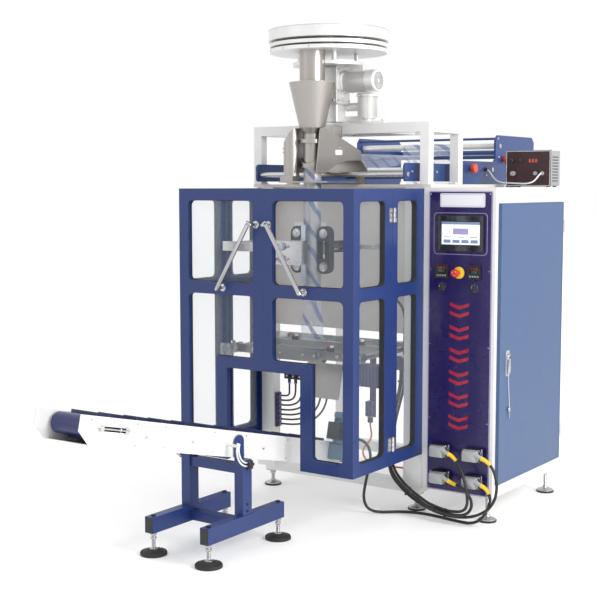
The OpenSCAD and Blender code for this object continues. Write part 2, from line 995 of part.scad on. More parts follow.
module film_roller_low() {
  color([0.88, 0.88, 0.88])
    placed()
      free_roller(roller_low[0], roller_low[1], 34);
}

module film_roller_high() {
  color([0.88, 0.88, 0.88])
    placed()
      free_roller(roller_high[0], roller_high[1], 36);
}

// film wound on its core, with the shaft and two clamping cones
module film_reel() {
  color([0.93, 0.93, 0.93])
    placed() {
      rod_x(-film_w / 2 - 6, film_w / 2 + 6, reel_y, reel_z, 84);
      rod_x(-film_w / 2, film_w / 2, reel_y, reel_z, reel_d);
      rod_x(-plate_x - 20, plate_x + 20, reel_y, reel_z, 30);
      for (s = [-1, 1])
        translate([s * (film_w / 2 + 6), reel_y, reel_z])
          rotate([0, s * 90, 0])
            cylinder(h = 24, d1 = 76, d2 = 44);
    }
}

// round knob whose screw turns in the side plate
module adjust_knob(p) {
  x0 = plate_x + plate_t / 2;
  color([0.85, 0.25, 0.15])
    placed() {
      rod_x(x0 - plate_t - 24, x0 + 10, p[0], p[1], 12);
      rod_x(x0 + 2, x0 + 14, p[0], p[1], 30);
      rod_x(x0 + 14, x0 + 34, p[0], p[1], 50);
    }
}

module adjust_knob_front() {
  adjust_knob(knob_front);
}

module adjust_knob_rear() {
  adjust_knob(knob_rear);
}

// printer's control case on the cabinet roof
module printer_box() {
  color([0.55, 0.56, 0.57])
    placed() {
      bounds(640, 892, 1392, 1518, cab_z1 + 8, 1886);
      bounds(634, 898, 1384, 1392, cab_z1 + 4, 1890);
      for (x = [660, 872], y = [1410, 1500])
        rod_z(cab_z1, cab_z1 + 8, x, y, 22);
      rod_y(1366, 1384, 680, 1765, 24);
      rod_y(1372, 1384, 850, 1765, 20);
      rod_y(1372, 1384, 810, 1765, 20);
    }
}

web_t = 1.2;
web_n = 16;
web_rows = 8;
web_y1 = 1635;

// point of the web at station i (0 at the mouth, web_rows at the guide bar)
// and at place j across it; the section goes from the mouth's arc to flat
function web_point(i, j, lift) =
  let (t = i / web_rows, u = 2 * j / web_n - 1, a = u * 62,
    flat = 3 * t * t - 2 * t * t * t)
  [(1 - flat) * (mouth_r + 1 + lift) * sin(a) + flat * u * film_w / 2,
    mouth_y - 12 + (web_y1 - mouth_y + 12) * t,
    (1 - flat) * (mouth_z + (mouth_r + 1 + lift) * cos(a)) + flat * (1873.4 + lift)];

function web_i(i, j, s) = (i * (web_n + 1) + j) * 2 + s;

// printed film on its way from the guide bar to the shoulder's mouth
module film_web() {
  pts = [for (i = [0:web_rows], j = [0:web_n], s = [0, 1]) web_point(i, j, s * web_t)];
  top = [for (i = [0:web_rows - 1], j = [0:web_n - 1])
    [web_i(i, j, 1), web_i(i + 1, j, 1), web_i(i + 1, j + 1, 1), web_i(i, j + 1, 1)]];
  low = [for (i = [0:web_rows - 1], j = [0:web_n - 1])
    [web_i(i, j, 0), web_i(i, j + 1, 0), web_i(i + 1, j + 1, 0), web_i(i + 1, j, 0)]];
  ends = [for (j = [0:web_n - 1], e = [0, web_rows])
    e == 0
      ? [web_i(0, j, 0), web_i(0, j, 1), web_i(0, j + 1, 1), web_i(0, j + 1, 0)]
      : [web_i(e, j, 0), web_i(e, j + 1, 0), web_i(e, j + 1, 1), web_i(e, j, 1)]];
  edges = [for (i = [0:web_rows - 1], e = [0, web_n])
    e == 0
      ? [web_i(i, 0, 0), web_i(i + 1, 0, 0), web_i(i + 1, 0, 1), web_i(i, 0, 1)]
      : [web_i(i, e, 0), web_i(i, e, 1), web_i(i + 1, e, 1), web_i(i + 1, e, 0)]];
  color([0.82, 0.84, 0.90, 0.6])
    placed() {
      polyhedron(points = pts, faces = concat(top, low, ends, edges), convexity = 6);
      slab_yz(-film_w / 2, film_w / 2)
        web_riser();
    }
}

// y-z section of the film that rises from the reel and turns over the high roller
module web_riser() {
  y = roller_high[0];
  z = roller_high[1];
  r = 18.4;
  x_reel = reel_y - reel_d / 2 - 0.6;
  polygon([[x_reel - web_t, reel_z], [x_reel, reel_z], [y + r + web_t, z], [y + r, z]]);
  difference() {
    translate([y, z])
      circle(r = r + web_t);
    translate([y, z])
      circle(r = r);
    translate([y - 50, z - 100])
      square([100, 100]);
  }
  translate([y - r - web_t, 1876.2])
    square([web_t, z - 1876.2]);
}

flat_w = 141;
film_r = tube_r + 0.4;
film_z0 = 892;

// film around the forming tube, closing to a flat bag below it
module film_tube() {
  color([0.82, 0.84, 0.90, 0.6])
    placed() {
      difference() {
        rod_z(tube_z0 - 25, 1786, 0, tube_y, 2 * film_r + 1);
        rod_z(tube_z0 - 26, 1787, 0, tube_y, 2 * film_r);
      }
      hull() {
        rod_z(tube_z0 - 27, tube_z0 - 25.5, 0, tube_y, 2 * film_r + 1);
        bounds(-flat_w / 2, flat_w / 2, tube_y - 1.5, tube_y + 1.5, 985, 986);
      }
      bounds(-flat_w / 2, flat_w / 2, tube_y - 1.5, tube_y + 1.5, film_z0, 985);
    }
}

// ------------------------------------------------------------------- sealing

guide_x = 380;
guide_z = 850;
guide_d = 30;
jaw_open = 105;
jaw_half = 160;

// jaw guide rods with their blocks, and the vertical sealer's bracket
module sealing_frame() {
  y_wall = post_yf - 30;
  color([0.80, 0.80, 0.80])
    placed() {
      both_sides() {
        rod_y(190, y_wall, guide_x, guide_z, guide_d);
        bounds(guide_x - 32, guide_x + 32, 184, 216, guide_z - 32, guide_z + 32);
        bounds(guide_x - 38, guide_x + 38, y_wall - 34, y_wall, guide_z - 38, guide_z + 38);
      }
      bounds(post_xl, post_xr, y_wall - 6, y_wall, guide_z - 40, guide_z + 40);
      // bracket on the left: an arm forward, then a plate across to the tube
      bounds(-445, -425, 250, guard_d, 1365, 1405);
      bounds(-445, -120, 250, 262, 1360, 1410);
      bounds(-120, 60, 250, 262, 1300, 1420);
      for (z = [1328, 1392])
        difference() {
          rod_y(262, 318, -60, z, 40);
          rod_y(284, 319, -60, z, 18.1);
        }
      // cross rail that carries both pull belt units
      bounds(-300, 300, 560, 580, 1372, 1398);
      for (x = [-300, 276])
        bounds(x, x + 24, 580, y_wall, 1372, 1398);
      bounds(-20, 20, 548, 560, 1340, 1430);
    }
}

// crosshead with its jaw bar and both guide bushes, at the open end of its travel
module jaw_unit(y, s) {
  face = y + s * 40;
  difference() {
    union() {
      bounds(-guide_x, guide_x, y - 14, y + 14, guide_z - 22, guide_z + 22);
      for (x = [-guide_x, guide_x])
        rod_y(y - 30, y + 30, x, guide_z, 52);
      bounds(-jaw_half, jaw_half, min(y, face), max(y, face), guide_z - 40, guide_z + 30);
      bounds(-jaw_half + 12, jaw_half - 12, min(y - s * 14, y - s * 44),
        max(y - s * 14, y - s * 44), guide_z - 20, guide_z + 20);
    }
    for (x = [-guide_x, guide_x])
      rod_y(y - 31, y + 31, x, guide_z, guide_d + 0.1);
    bounds(-jaw_half - 1, jaw_half + 1, min(face - s * 6, face + s), max(face - s * 6, face + s),
      guide_z - 8, guide_z + 2);
  }
}

module front_jaw() {
  color([0.30, 0.30, 0.32])
    placed()
      jaw_unit(tube_y - 40 - jaw_open, 1);
}

module rear_jaw() {
  color([0.30, 0.30, 0.32])
    placed()
      jaw_unit(tube_y + 40 + jaw_open, -1);
}

// heated vertical bar in front of the tube, pushed by two cylinders
module seal_bar() {
  color([0.72, 0.74, 0.78])
    placed() {
      bounds(-14, 14, 350, 366, 1200, 1500);
      bounds(-85, 14, 334, 350, 1300, 1420);
      for (z = [1328, 1392])
        rod_y(288, 334, -60, z, 18);
    }
}

belt_z0 = 1285;
belt_z1 = 1455;
pulley_r = 32;
belt_x = tube_r + pulley_r + 6.5;

// belt unit at the right of the tube: plate, pulleys and vacuum belt
module pull_unit() {
  y0 = tube_y - 22;
  y1 = tube_y + 22;
  difference() {
    union() {
      for (z = [belt_z0, belt_z1])
        rod_y(y0, y1, belt_x, z, 2 * pulley_r + 10);
      bounds(belt_x - pulley_r - 5, belt_x + pulley_r + 5, y0, y1, belt_z0, belt_z1);
    }
    bounds(belt_x - pulley_r, belt_x + pulley_r, y0 - 1, y1 + 1, belt_z0 + 40, belt_z1 - 40);
  }
  bounds(belt_x - 20, belt_x + 20, y1, y1 + 10, belt_z0 - 20, belt_z1 + 20);
  bounds(belt_x - 20, belt_x + 20, y1 + 10, 600, 1402, 1414);
  bounds(belt_x - 20, belt_x + 20, y1 + 10, 600, 1356, 1368);
  bounds(belt_x - 20, belt_x + 20, 584, 600, 1368, 1402);
}

module pull_unit_right() {
  color([0.12, 0.12, 0.13])
    placed()
      pull_unit();
}

module pull_unit_left() {
  color([0.12, 0.12, 0.13])
    placed()
      mirror([1, 0, 0])
        pull_unit();
}

// sheet behind the bags' fall, leaning forward over the conveyor's lower end
module bag_chute() {
  color([0.75, 0.75, 0.76])
    placed()
      slab_yz(-112, 112)
        polygon([[560, 762], [563, 762], [513.7, 582], [510.7, 582]]);
}

// valve terminals below the jaws, air regulator, cable entry box, hose
// couplings on the left post and the hangers of the bag chute
module pneumatics() {
  y_wall = post_yf - 30;
  color([0.26, 0.22, 0.40])
    placed() {
      bounds(-330, -30, 640, 690, 640, 700);
      for (k = [0:6])
        rod_z(616, 640, hose_x(k), hose_y, 18);
      bounds(-200, -160, 690, y_wall - 6, 650, 690);
      bounds(-200, -160, y_wall - 12, y_wall - 6, 650, 830);
      bounds(150, 345, 600, 650, 650, 770);
      for (k = [0:8])
        bounds(156 + k * 21, 165 + k * 21, 594, 600, 656, 764);
      bounds(240, 280, 650, y_wall - 6, 700, 730);
      bounds(240, 280, y_wall - 12, y_wall - 6, 700, 830);
      both_sides() {
        bounds(112, 118, 545, y_wall - 6, 735, 755);
        bounds(112, 118, y_wall - 12, y_wall - 6, 735, 830);
      }
      bounds(180, 216, y_wall - 12, y_wall - 6, 470, 830);
      bounds(180, 216, 668, y_wall - 12, 480, 560);
      rod_z(446, 480, 198, 690, 30);
      bounds(352, 420, 668, y_wall - 6, 745, 812);
      for (p = [[402, 699], [378, 699], [390, 689]])
        rod_z(733, 745, p[0], p[1], 17);
      bounds(post_xl + post_s / 2, hose_end_x - 10, 735, 775, 340, 534);
      for (k = [0:6])
        rod_x(hose_end_x - 10, hose_end_x - 0.6, post_yf, hose_end_z(k), 16);
      rod_x(471, wall_x, 700, 226, 22);
      rod_y(705, post_yf - 30, 236, 1173, 26);
    }
}

// ------------------------------------------------------------------ conveyor

half_c = conv_w / 2;
belt_w = 220;
belt_thick = 5;
roll_h = 18;
belt_r = 40;

// local frame of the conveyor: y runs down to the tail, z is square to the belt
module along_conveyor() {
  translate([0, pivot_y, pivot_z])
    rotate([-conv_pitch, 0, 0])
      children();
}

module side_plate_outline() {
  difference() {
    polygon([[nose_s, 0], [-969, plate_lo], [900, plate_lo], [900, plate_hi],
      [nose_s, plate_hi]]);
    rrect(-930, -740, roll_h - 10, roll_h + 10, 9.9);
  }
}

module conveyor_plates() {
  color([0.95, 0.95, 0.94])
    placed()
      along_conveyor()
        both_sides()
          difference() {
            slab_yz(half_c - 3, half_c)
              side_plate_outline();
            rod_x(half_c - 4, half_c + 1, tail_s, roll_h, 25.1);
          }
}

// slider bed, bottom sheet, ties, head axle and the plates' outer bolts
module conveyor_bed() {
  color([0.80, 0.80, 0.80])
    placed()
      along_conveyor() {
        bounds(3 - half_c, half_c - 3, -945, 890, plate_lo, plate_lo + 2);
        bounds(3 - half_c, half_c - 3, -860, 765, 52, 55);
        for (s = [-700, -350, 60, 400, 700])
          rod_x(3 - half_c, half_c - 3, s, roll_h - 3, 20);
        rod_x(3 - half_c, half_c - 3, head_s, roll_h, 20);
        rod_x(-half_c - 12, half_c + 12, head_s, roll_h, 19.6);
        both_sides() {
          for (s = [-640, -330, 200])
            rod_x(half_c, half_c + 5, s, 0, 16);
          rod_x(half_c, half_c + 2, 0, 0, 40);
        }
      }
}

arc_r = 79;
arc_x = 190;

// slotted arc centred on the pivot, on a standoff from the side plate; the
// lock bolt sits straight below the pivot at lock_a in the local frame
lock_a = 270 + conv_pitch;

module tilt_arc() {
  rod_x(half_c, arc_x + 5, -arc_r, 0, 14);
  slab_yz(arc_x, arc_x + 5)
    difference() {
      ring_sector(arc_r - 11, arc_r + 11, 170, lock_a + 22);
      ring_sector(arc_r - 4.2, arc_r + 4.2, 198, lock_a + 10);
    }
}

module conveyor_arcs() {
  color([0.95, 0.95, 0.94])
    placed()
      along_conveyor()
        both_sides()
          tilt_arc();
}

module ring_sector(r0, r1, a0, a1) {
  mid = (a0 + a1) / 2;
  intersection() {
    difference() {
      circle(r = r1);
      circle(r = r0);
    }
    polygon([[0, 0], 200 * [cos(a0), sin(a0)], 200 * [cos(mid), sin(mid)],
      200 * [cos(a1), sin(a1)]]);
  }
}

module belt_path(r) {
  translate([head_s, roll_h])
    circle(r = r);
  translate([tail_s, roll_h])
    circle(r = r);
  translate([head_s, roll_h - r])
    square([tail_s - head_s, 2 * r]);
}

// endless cleated belt
module conveyor_belt() {
  outer = belt_r + belt_thick;
  color([0.20, 0.26, 0.58])
    placed()
      along_conveyor()
        slab_yz(-belt_w / 2, belt_w / 2) {
          difference() {
            belt_path(outer);
            belt_path(belt_r);
          }
          for (k = [0:10]) {
            translate([head_s + 60 + k * 160, roll_h + outer - 1])
              square([6, 16]);
            translate([head_s + 60 + k * 160, roll_h - outer - 11])
              square([6, 12]);
          }
        }
}

module head_roller() {
  color([0.55, 0.56, 0.58])
    placed()
      along_conveyor()
        difference() {
          rod_x(-belt_w / 2 - 2, belt_w / 2 + 2, head_s, roll_h, 2 * roll_r);
          rod_x(-belt_w, belt_w, head_s, roll_h, 20.1);
        }
}

module tail_roller() {
  color([0.55, 0.56, 0.58])
    placed()
      along_conveyor() {
        rod_x(-belt_w / 2 - 2, belt_w / 2 + 2, tail_s, roll_h, 2 * roll_r);
        rod_x(-half_c - 8, 205, tail_s, roll_h, 25);
      }
}

// worm gearmotor on the tail shaft, standing up beside the conveyor
module conveyor_motor() {
  color([0.37, 0.50, 0.58])
    placed()
      along_conveyor() {
        difference() {
          union() {
            bounds(132, 218, tail_s - 46, tail_s + 46, roll_h - 42, roll_h + 44);
            rod_x(half_c, 132, tail_s, roll_h, 80);
          }
          rod_x(half_c - 1, 206, tail_s, roll_h, 25.1);
        }
        rod_z(roll_h + 44, roll_h + 56, 182, tail_s, 102);
        rod_z(roll_h + 56, roll_h + 176, 182, tail_s, 116);
        rod_z(roll_h + 176, roll_h + 204, 182, tail_s, 122);
        bounds(140, 212, tail_s - 96, tail_s - 50, roll_h + 62, roll_h + 150);
        bounds(226, 246, tail_s - 12, tail_s + 48, roll_h + 57, roll_h + 98);
        rod_x(246, 256, tail_s + 18, roll_h + 77, 18);
      }
}

// two floor beams, two posts with ears, cross beams and the lock bolts
module conveyor_stand() {
  z_top = 440;
  color([0.20, 0.33, 0.62])
    placed() {
      both_sides() {
        bounds(140, 188, -657, -81, stand_z0, 183);
        bounds(135, 185, -400, -334, 183, z_top);
        bounds(135, 141, -400, -334, z_top, 520);
        rod_x(135, 141, pivot_y + 1, 520, 66);
        rod_x(half_c + 2.5, 152, pivot_y, pivot_z, 20);
        rod_x(185, 196, pivot_y + 1, pivot_z - arc_r, 8);
        rod_x(195.5, 203, pivot_y + 1, pivot_z - arc_r, 18);
      }
      bounds(-140, 140, -395, -345, stand_z0 + 8, 163);
      bounds(-135, 135, -390, -350, 376, 422);
    }
}

// --------------------------------------------------------- cords and hoses

cord_n = 10;

function unit(v) = v / norm(v);

function squared(u, t) = unit(u - t * (u * t));

// carries a cross direction along the tangents, with no twist
function carried(t, i, u) =
  i == len(t) ? [] : let (w = squared(u, t[i])) concat([w], carried(t, i + 1, w));

// cord through the points of its route, a ring of corners at each point
module cord(route, d) {
  n = len(route) - 1;
  t = [for (i = [0:n]) unit(route[min(i + 1, n)] - route[max(i - 1, 0)])];
  u = carried(t, 0, abs(t[0][2]) < 0.9 ? [0, 0, 1] : [1, 0, 0]);
  pts = [for (i = [0:n], k = [0:cord_n - 1])
    route[i] + d / 2 * (u[i] * cos(k * 360 / cord_n)
      + cross(t[i], u[i]) * sin(k * 360 / cord_n))];
  sides = [for (i = [0:n - 1], k = [0:cord_n - 1], half = [0, 1])
    let (a = i * cord_n + k, b = i * cord_n + (k + 1) % cord_n)
    half == 0 ? [a, a + cord_n, b + cord_n] : [a, b + cord_n, b]];
  ends = [[for (k = [0:cord_n - 1]) k],
    [for (k = [0:cord_n - 1]) n * cord_n + cord_n - 1 - k]];
  polyhedron(points = pts, faces = concat(sides, ends), convexity = 8);
}

cable_d = 15;

// cables of the four plugs: three climb as a bundle to the entry box inside the
// guard, the fourth runs over the floor and up to the conveyor's motor
module connector_cables() {
  color([0.07, 0.07, 0.08])
    placed() {
      cord([
        [710, 602, 357], [730, 602, 349], [756, 599, 330], [780, 592, 304],
        [801, 583, 274], [819, 574, 239], [832, 567, 202], [840, 564, 164],
        [839, 566, 128], [825, 571, 98], [797, 577, 80], [760, 584, 72],
        [722, 590, 69], [682, 592, 73], [642, 593, 81],
        [603, 595, 91], [556, 600, 111], [501, 605, 139],
        [447, 613, 172], [401, 624, 211], [371, 638, 248],
        [355, 654, 289], [348, 671, 336], [345, 685, 388],
        [347, 694, 444], [357, 699, 503], [372, 701, 562],
        [388, 701, 623], [398, 700, 683], [402, 699, 732.3]], cable_d);
      cord([
        [710, 602, 221], [730, 602, 213], [762, 592, 208], [790, 581, 203],
        [816, 580, 190], [837, 583, 168], [850, 588, 139], [851, 589, 108],
        [838, 585, 81], [813, 581, 64], [780, 579, 57], [738, 580, 56], [698, 581, 59], [650, 583, 67], [600, 586, 78],
        [550, 594, 98], [494, 600, 125], [438, 607, 160],
        [390, 617, 201], [359, 629, 242], [343, 644, 286],
        [336, 660, 335], [333, 675, 388], [335, 684, 445],
        [345, 689, 505], [360, 691, 564], [376, 691, 625],
        [386, 690, 684], [390, 689, 732.3]], cable_d);
      cord([
        [895, 602, 357], [915, 602, 349], [939, 602, 334],
        [960, 602, 309], [973, 602, 278], [983, 598, 244],
        [985, 593, 209], [981, 588, 174], [967, 586, 142],
        [945, 586, 113], [915, 587, 89], [878, 588, 69],
        [838, 590, 55], [796, 592, 47], [752, 593, 43], [710, 593, 44], [648, 594, 53], [596, 596, 66],
        [544, 600, 84], [487, 605, 111], [429, 613, 148],
        [379, 624, 190], [349, 638, 235], [332, 654, 283],
        [324, 671, 334], [321, 685, 388], [323, 694, 446],
        [334, 699, 507], [349, 701, 566], [365, 701, 627],
        [375, 700, 685], [378, 699, 732.3]], cable_d);
      cord([
        [895, 602, 221], [905, 602, 217], [925, 603, 204],
        [938, 605, 184], [943, 608, 160], [939, 612, 134],
        [929, 617, 107], [914, 622, 80], [895, 624, 54], [872, 629, 33], [844, 634, 18], [812, 637, 10],
        [778, 640, 8], [742, 644, 8], [704, 649, 8], [660, 657, 8], [616, 664, 8], [572, 668, 8],
        [528, 667, 8], [486, 659, 8], [446, 645, 8], [410, 624, 8], [378, 597, 8], [344, 568, 9],
        [311, 541, 16], [287, 523, 34], [275, 513, 64],
        [273, 508, 101], [278, 507, 138], [287, 505, 176],
        [297, 503, 213], [308, 500, 248], [318, 496, 282],
        [323, 490, 316], [321, 484, 348], [309, 477, 377],
        [287, 471, 395], [258, 469, 400]], cable_d);
    }
}

// thin lead from the printer's case to the print head
module printer_lead() {
  color([0.85, 0.85, 0.86])
    placed()
      cord([
        [850, 1371, 1765], [849, 1352, 1760], [845, 1336, 1748], [838, 1324, 1733], [826, 1314, 1720],
        [808, 1308, 1713], [786, 1308, 1710], [762, 1314, 1710], [736, 1325, 1711], [708, 1339, 1712],
        [678, 1355, 1713], [646, 1373, 1714], [612, 1393, 1716], [578, 1414, 1722], [548, 1432, 1734],
        [524, 1447, 1751], [504, 1460, 1770], [487, 1468, 1784], [469.5, 1471, 1789]], 8);
}

// key on a cord from the cabinet handle
module key_cord() {
  x = cab_right + 24;
  color([0.75, 0.75, 0.76])
    placed() {
      cord([[x, 780, 760], [x, 781, 735], [x, 784, 700], [x, 788, 665], [x, 792, 630],
        [x, 796, 590]], 3);
      bounds(x - 2, x + 2, 786, 806, 540, 590);
    }
}

hose_y = 662;
hose_end_x = -436;

function hose_x(k) = -310 + 42 * k;

function hose_end_z(k) = 590 - 72 - 27 * k;

// quarter ellipse from below valve k to its coupling on the left post
function hose_path(k) = concat([[hose_x(k), hose_y, 616]],
  [for (t = [0:15:90]) [hose_end_x + (hose_x(k) - hose_end_x) * cos(t),
    hose_y + (post_yf - hose_y) * (1 - cos(2 * t)) / 2,
    590 - (590 - hose_end_z(k)) * sin(t)]]);

// seven air hoses, the jaws' supply hose and the orange feed hose
module air_hoses() {
  color([0.30, 0.30, 0.32])
    placed() {
      for (k = [0:6])
        cord(hose_path(k), 11);
      cord([
        [408, 680, 812], [408, 680, 836], [408, 680, 868],
        [408, 681, 902], [407, 686, 936], [405, 692, 972],
        [402, 697, 1008], [395, 699, 1042], [384, 695, 1073],
        [368, 683, 1101], [349, 668, 1125], [330, 653, 1144],
        [312, 642, 1158], [292, 636, 1167], [271, 639, 1171],
        [252.5, 652, 1173], [240, 670, 1173], [236, 690, 1173],
        [236, 705, 1173]], 14);
      cord([
        [471, 700, 226], [448, 700, 226], [420, 700, 225],
        [390, 701, 223], [360, 702, 221], [328, 703, 220],
        [296, 704, 220], [264, 704, 220], [234, 704, 221],
        [206, 703, 224], [178, 702, 232], [157, 701, 248],
        [148, 699, 272], [154, 697, 298], [170, 695, 320],
        [188, 693, 338], [201, 691, 359], [206, 690, 382],
        [203, 690, 406], [199, 690, 427], [198, 690, 446]], 10);
    }
}

base_frame();
levelling_feet();
top_deck();
back_panel();
cabinet_shell();
front_panel();
panel_labels();
operator_displays();
hmi_screen();
connectors();
guard_sides();
guard_side_panes();
filler_stand();
filler_carrier();
filler_drive();
product_funnel();
forming_tube();
forming_shoulder();
film_side_plates();
printer_box();
film_web();
film_tube();
sealing_frame();
bag_chute();
pneumatics();
air_hoses();
conveyor_stand();
connector_cables();
printer_lead();
key_cord();
guard_door_left();
door_panes_left();
door_handle_left();
guard_door_right();
door_panes_right();
door_handle_right();
cabinet_door();
cabinet_handle();
estop_button();
knob_left();
knob_right();
front_jaw();
rear_jaw();
seal_bar();
pull_unit_left();
pull_unit_right();
dosing_turret();
conveyor_plates();
conveyor_bed();
conveyor_arcs();
conveyor_belt();
conveyor_motor();
head_roller();
tail_roller();
film_roller_low();
film_roller_high();
shoulder_roller();
film_reel();
adjust_knob_front();
adjust_knob_rear();
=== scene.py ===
"""Looks of the vertical form fill sealer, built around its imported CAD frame."""

import json
from itertools import product
from math import cos, pi, radians, sin, sqrt, tau

import bmesh
import bpy
from mathutils import Matrix, Vector
from mathutils.geometry import convex_hull_2d


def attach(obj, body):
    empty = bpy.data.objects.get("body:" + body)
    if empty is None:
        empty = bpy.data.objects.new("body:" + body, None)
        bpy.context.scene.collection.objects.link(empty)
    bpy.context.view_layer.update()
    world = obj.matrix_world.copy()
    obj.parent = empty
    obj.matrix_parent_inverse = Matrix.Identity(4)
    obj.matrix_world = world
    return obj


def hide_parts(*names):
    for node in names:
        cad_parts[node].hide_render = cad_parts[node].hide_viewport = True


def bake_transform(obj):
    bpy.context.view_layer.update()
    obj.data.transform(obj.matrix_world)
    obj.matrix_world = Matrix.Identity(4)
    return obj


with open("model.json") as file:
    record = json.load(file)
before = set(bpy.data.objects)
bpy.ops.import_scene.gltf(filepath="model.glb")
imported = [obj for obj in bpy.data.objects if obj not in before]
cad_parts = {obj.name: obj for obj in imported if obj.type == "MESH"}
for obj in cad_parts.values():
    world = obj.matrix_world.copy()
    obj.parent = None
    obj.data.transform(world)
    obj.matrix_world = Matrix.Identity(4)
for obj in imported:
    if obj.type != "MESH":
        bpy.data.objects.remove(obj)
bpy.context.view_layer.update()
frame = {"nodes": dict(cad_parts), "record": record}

# Lengths below are in millimetres in the part's own layout: x = 0 is the forming
# tube's plane, y = 0 the guard's front face and z = 0 the floor.
ORIGIN = Vector((204.25, 371.6157, 0))
PANEL = 658.0  # front face of the operator panel, along y
TUBE_Y = 432.0  # axis of the forming tube
HALF_W = 528.0  # half of the guard's width
CONVEYOR_SLOPE = radians(13.4)
CONVEYOR = Matrix.Translation((0, -368, 501)) @ Matrix.Rotation(-CONVEYOR_SLOPE, 4, "X")
ON_PANEL = Matrix.Translation((0, PANEL, 0))
X, Y, Z = Vector((1, 0, 0)), Vector((0, 1, 0)), Vector((0, 0, 1))


def at(x, y, z):
    """A point of the layout in the row frame, in metres."""
    return (Vector((x, y, z)) - ORIGIN) / 1000


def grid(*ranges):
    """Every point that takes one value of each range, or its only value."""
    return list(product(*[r if hasattr(r, "__len__") else (r,) for r in ranges]))


def spread(centre, r, count, start=0.0):
    """Points (a, b) at equal steps round a circle, from start in degrees."""
    turns = [radians(start) + tau * (k / count) for k in range(count)]
    return [(centre[0] + r * cos(t), centre[1] + r * sin(t)) for t in turns]


# --- camera

EYE = (3.29795, -5.05302, 1.70)
LOOK_DOWN, LOOK_LEFT = 0.0951, 0.6048

camera = bpy.data.objects.new("camera", bpy.data.cameras.new("camera"))
bpy.context.scene.collection.objects.link(camera)
camera.location = EYE
camera.rotation_euler = (pi / 2 - LOOK_DOWN, 0, LOOK_LEFT)
camera.data.sensor_width = 36
camera.data.lens = 72.14
camera.data.shift_x = -0.0144
camera.data.shift_y = 0.0008
camera.data.clip_end = 200
bpy.context.scene.camera = camera


# --- materials

MAT = {}
EDGE_RADIUS = 0.0012
RELIEF_DEPTH = 0.0006
WORN_TONE = 0.7  # what paint fades towards on a worn edge


def feed(tree, node, inputs):
    """Sets a node's inputs, each to a value or to another node's output."""
    for key, value in inputs.items():
        if isinstance(value, bpy.types.NodeSocket):
            tree.links.new(value, node.inputs[key])
        else:
            node.inputs[key].default_value = value


def add(tree, kind, out, inputs=(), **settings):
    """Adds a shader node and gives its output named out."""
    node = tree.nodes.new("ShaderNode" + kind)
    for key, value in settings.items():
        setattr(node, key, value)
    feed(tree, node, dict(inputs))
    return node.outputs[out]


def blended(tree, low, high, factor):
    inputs = {"A": low, "B": high, "Factor": factor}
    return add(tree, "Mix", "Result", inputs, data_type="RGBA")


def surface(
    name, color, rough, metal=0.0, vary=0.05, cloud=9.0, grain=700.0, bump=0.06,
    stretch=(1, 1, 1), coat=0.0, glow=0.0, alpha=1.0, edge=EDGE_RADIUS, wear=0.0
):
    """A procedural finish: cloudy colour, uneven gloss, fine relief, soft edges."""
    MAT[name] = m = bpy.data.materials.new(name)
    m.use_nodes = True
    tree = m.node_tree
    place = add(tree, "TexCoord", "Object")
    place = add(tree, "Mapping", "Vector", {"Scale": stretch, "Vector": place})
    broad = add(tree, "TexNoise", "Fac", {"Scale": cloud, "Detail": 4, "Vector": place})
    fine = add(tree, "TexNoise", "Fac", {"Scale": grain, "Detail": 2, "Vector": place})
    dark = (*[c * (1 - vary * 1.6) for c in color], 1)
    light = (*[min(1.0, c * (1 + vary)) for c in color], 1)
    paint = blended(tree, dark, light, broad)
    relief = {"Strength": bump, "Distance": RELIEF_DEPTH, "Height": fine}
    if edge:
        relief["Normal"] = add(tree, "Bevel", "Normal", {"Radius": edge}, samples=3)
    if wear and edge:
        flat = add(tree, "NewGeometry", "True Normal")
        both = {0: relief["Normal"], 1: flat}
        bend = add(tree, "VectorMath", "Value", both, operation="DOT_PRODUCT")
        limits = {"From Min": 0.97, "From Max": 0.80, "Value": bend}
        rim = add(tree, "MapRange", "Result", limits)
        worn = (*[c + (WORN_TONE - c) * wear for c in color], 1)
        paint = blended(tree, paint, worn, rim)
    limits = {"To Min": max(0.02, rough - 0.07), "To Max": min(1.0, rough + 0.09)}
    shader = tree.nodes["Principled BSDF"]
    finish = {
        "Base Color": paint,
        "Roughness": add(tree, "MapRange", "Result", {**limits, "Value": broad}),
        "Normal": add(tree, "Bump", "Normal", relief),
        "Metallic": metal,
        "Coat Weight": coat,
        "Coat Roughness": 0.08,
        "Alpha": alpha,
    }
    if glow:
        finish |= {"Emission Color": (*color, 1), "Emission Strength": glow}
    feed(tree, shader, finish)
    return m


def brushed(name, color, rough, along="z", **more):
    """Metal with fine scratches that run along one direction."""
    stretch = {"x": (0.06, 1, 1), "z": (1, 1, 0.06)}[along]
    more |= {"metal": 0.92, "stretch": stretch, "grain": 900, "bump": 0.16}
    surface(name, color, rough, **more)


def film_material(name, color, ink, period, clear=0.30, printed=0.55):
    """Clear film that carries bands of plain print."""
    tree = surface(name, color, 0.16, bump=0.35, grain=60, edge=0).node_tree
    bands = {"Scale": period, "Distortion": 3.0, "Detail": 1.0}
    bands["Vector"] = add(tree, "TexCoord", "Object")
    style = {"wave_type": "BANDS", "bands_direction": "DIAGONAL"}
    wave = add(tree, "TexWave", "Fac", bands, **style)
    limits = {"From Min": 0.80, "From Max": 0.86, "Value": wave}
    mask = add(tree, "MapRange", "Result", limits)
    limits = {"To Min": clear, "To Max": printed, "Value": mask}
    cover = add(tree, "MapRange", "Result", limits)
    paint = blended(tree, (*color, 1), (*ink, 1), mask)
    feed(tree, tree.nodes["Principled BSDF"], {"Base Color": paint, "Alpha": cover})


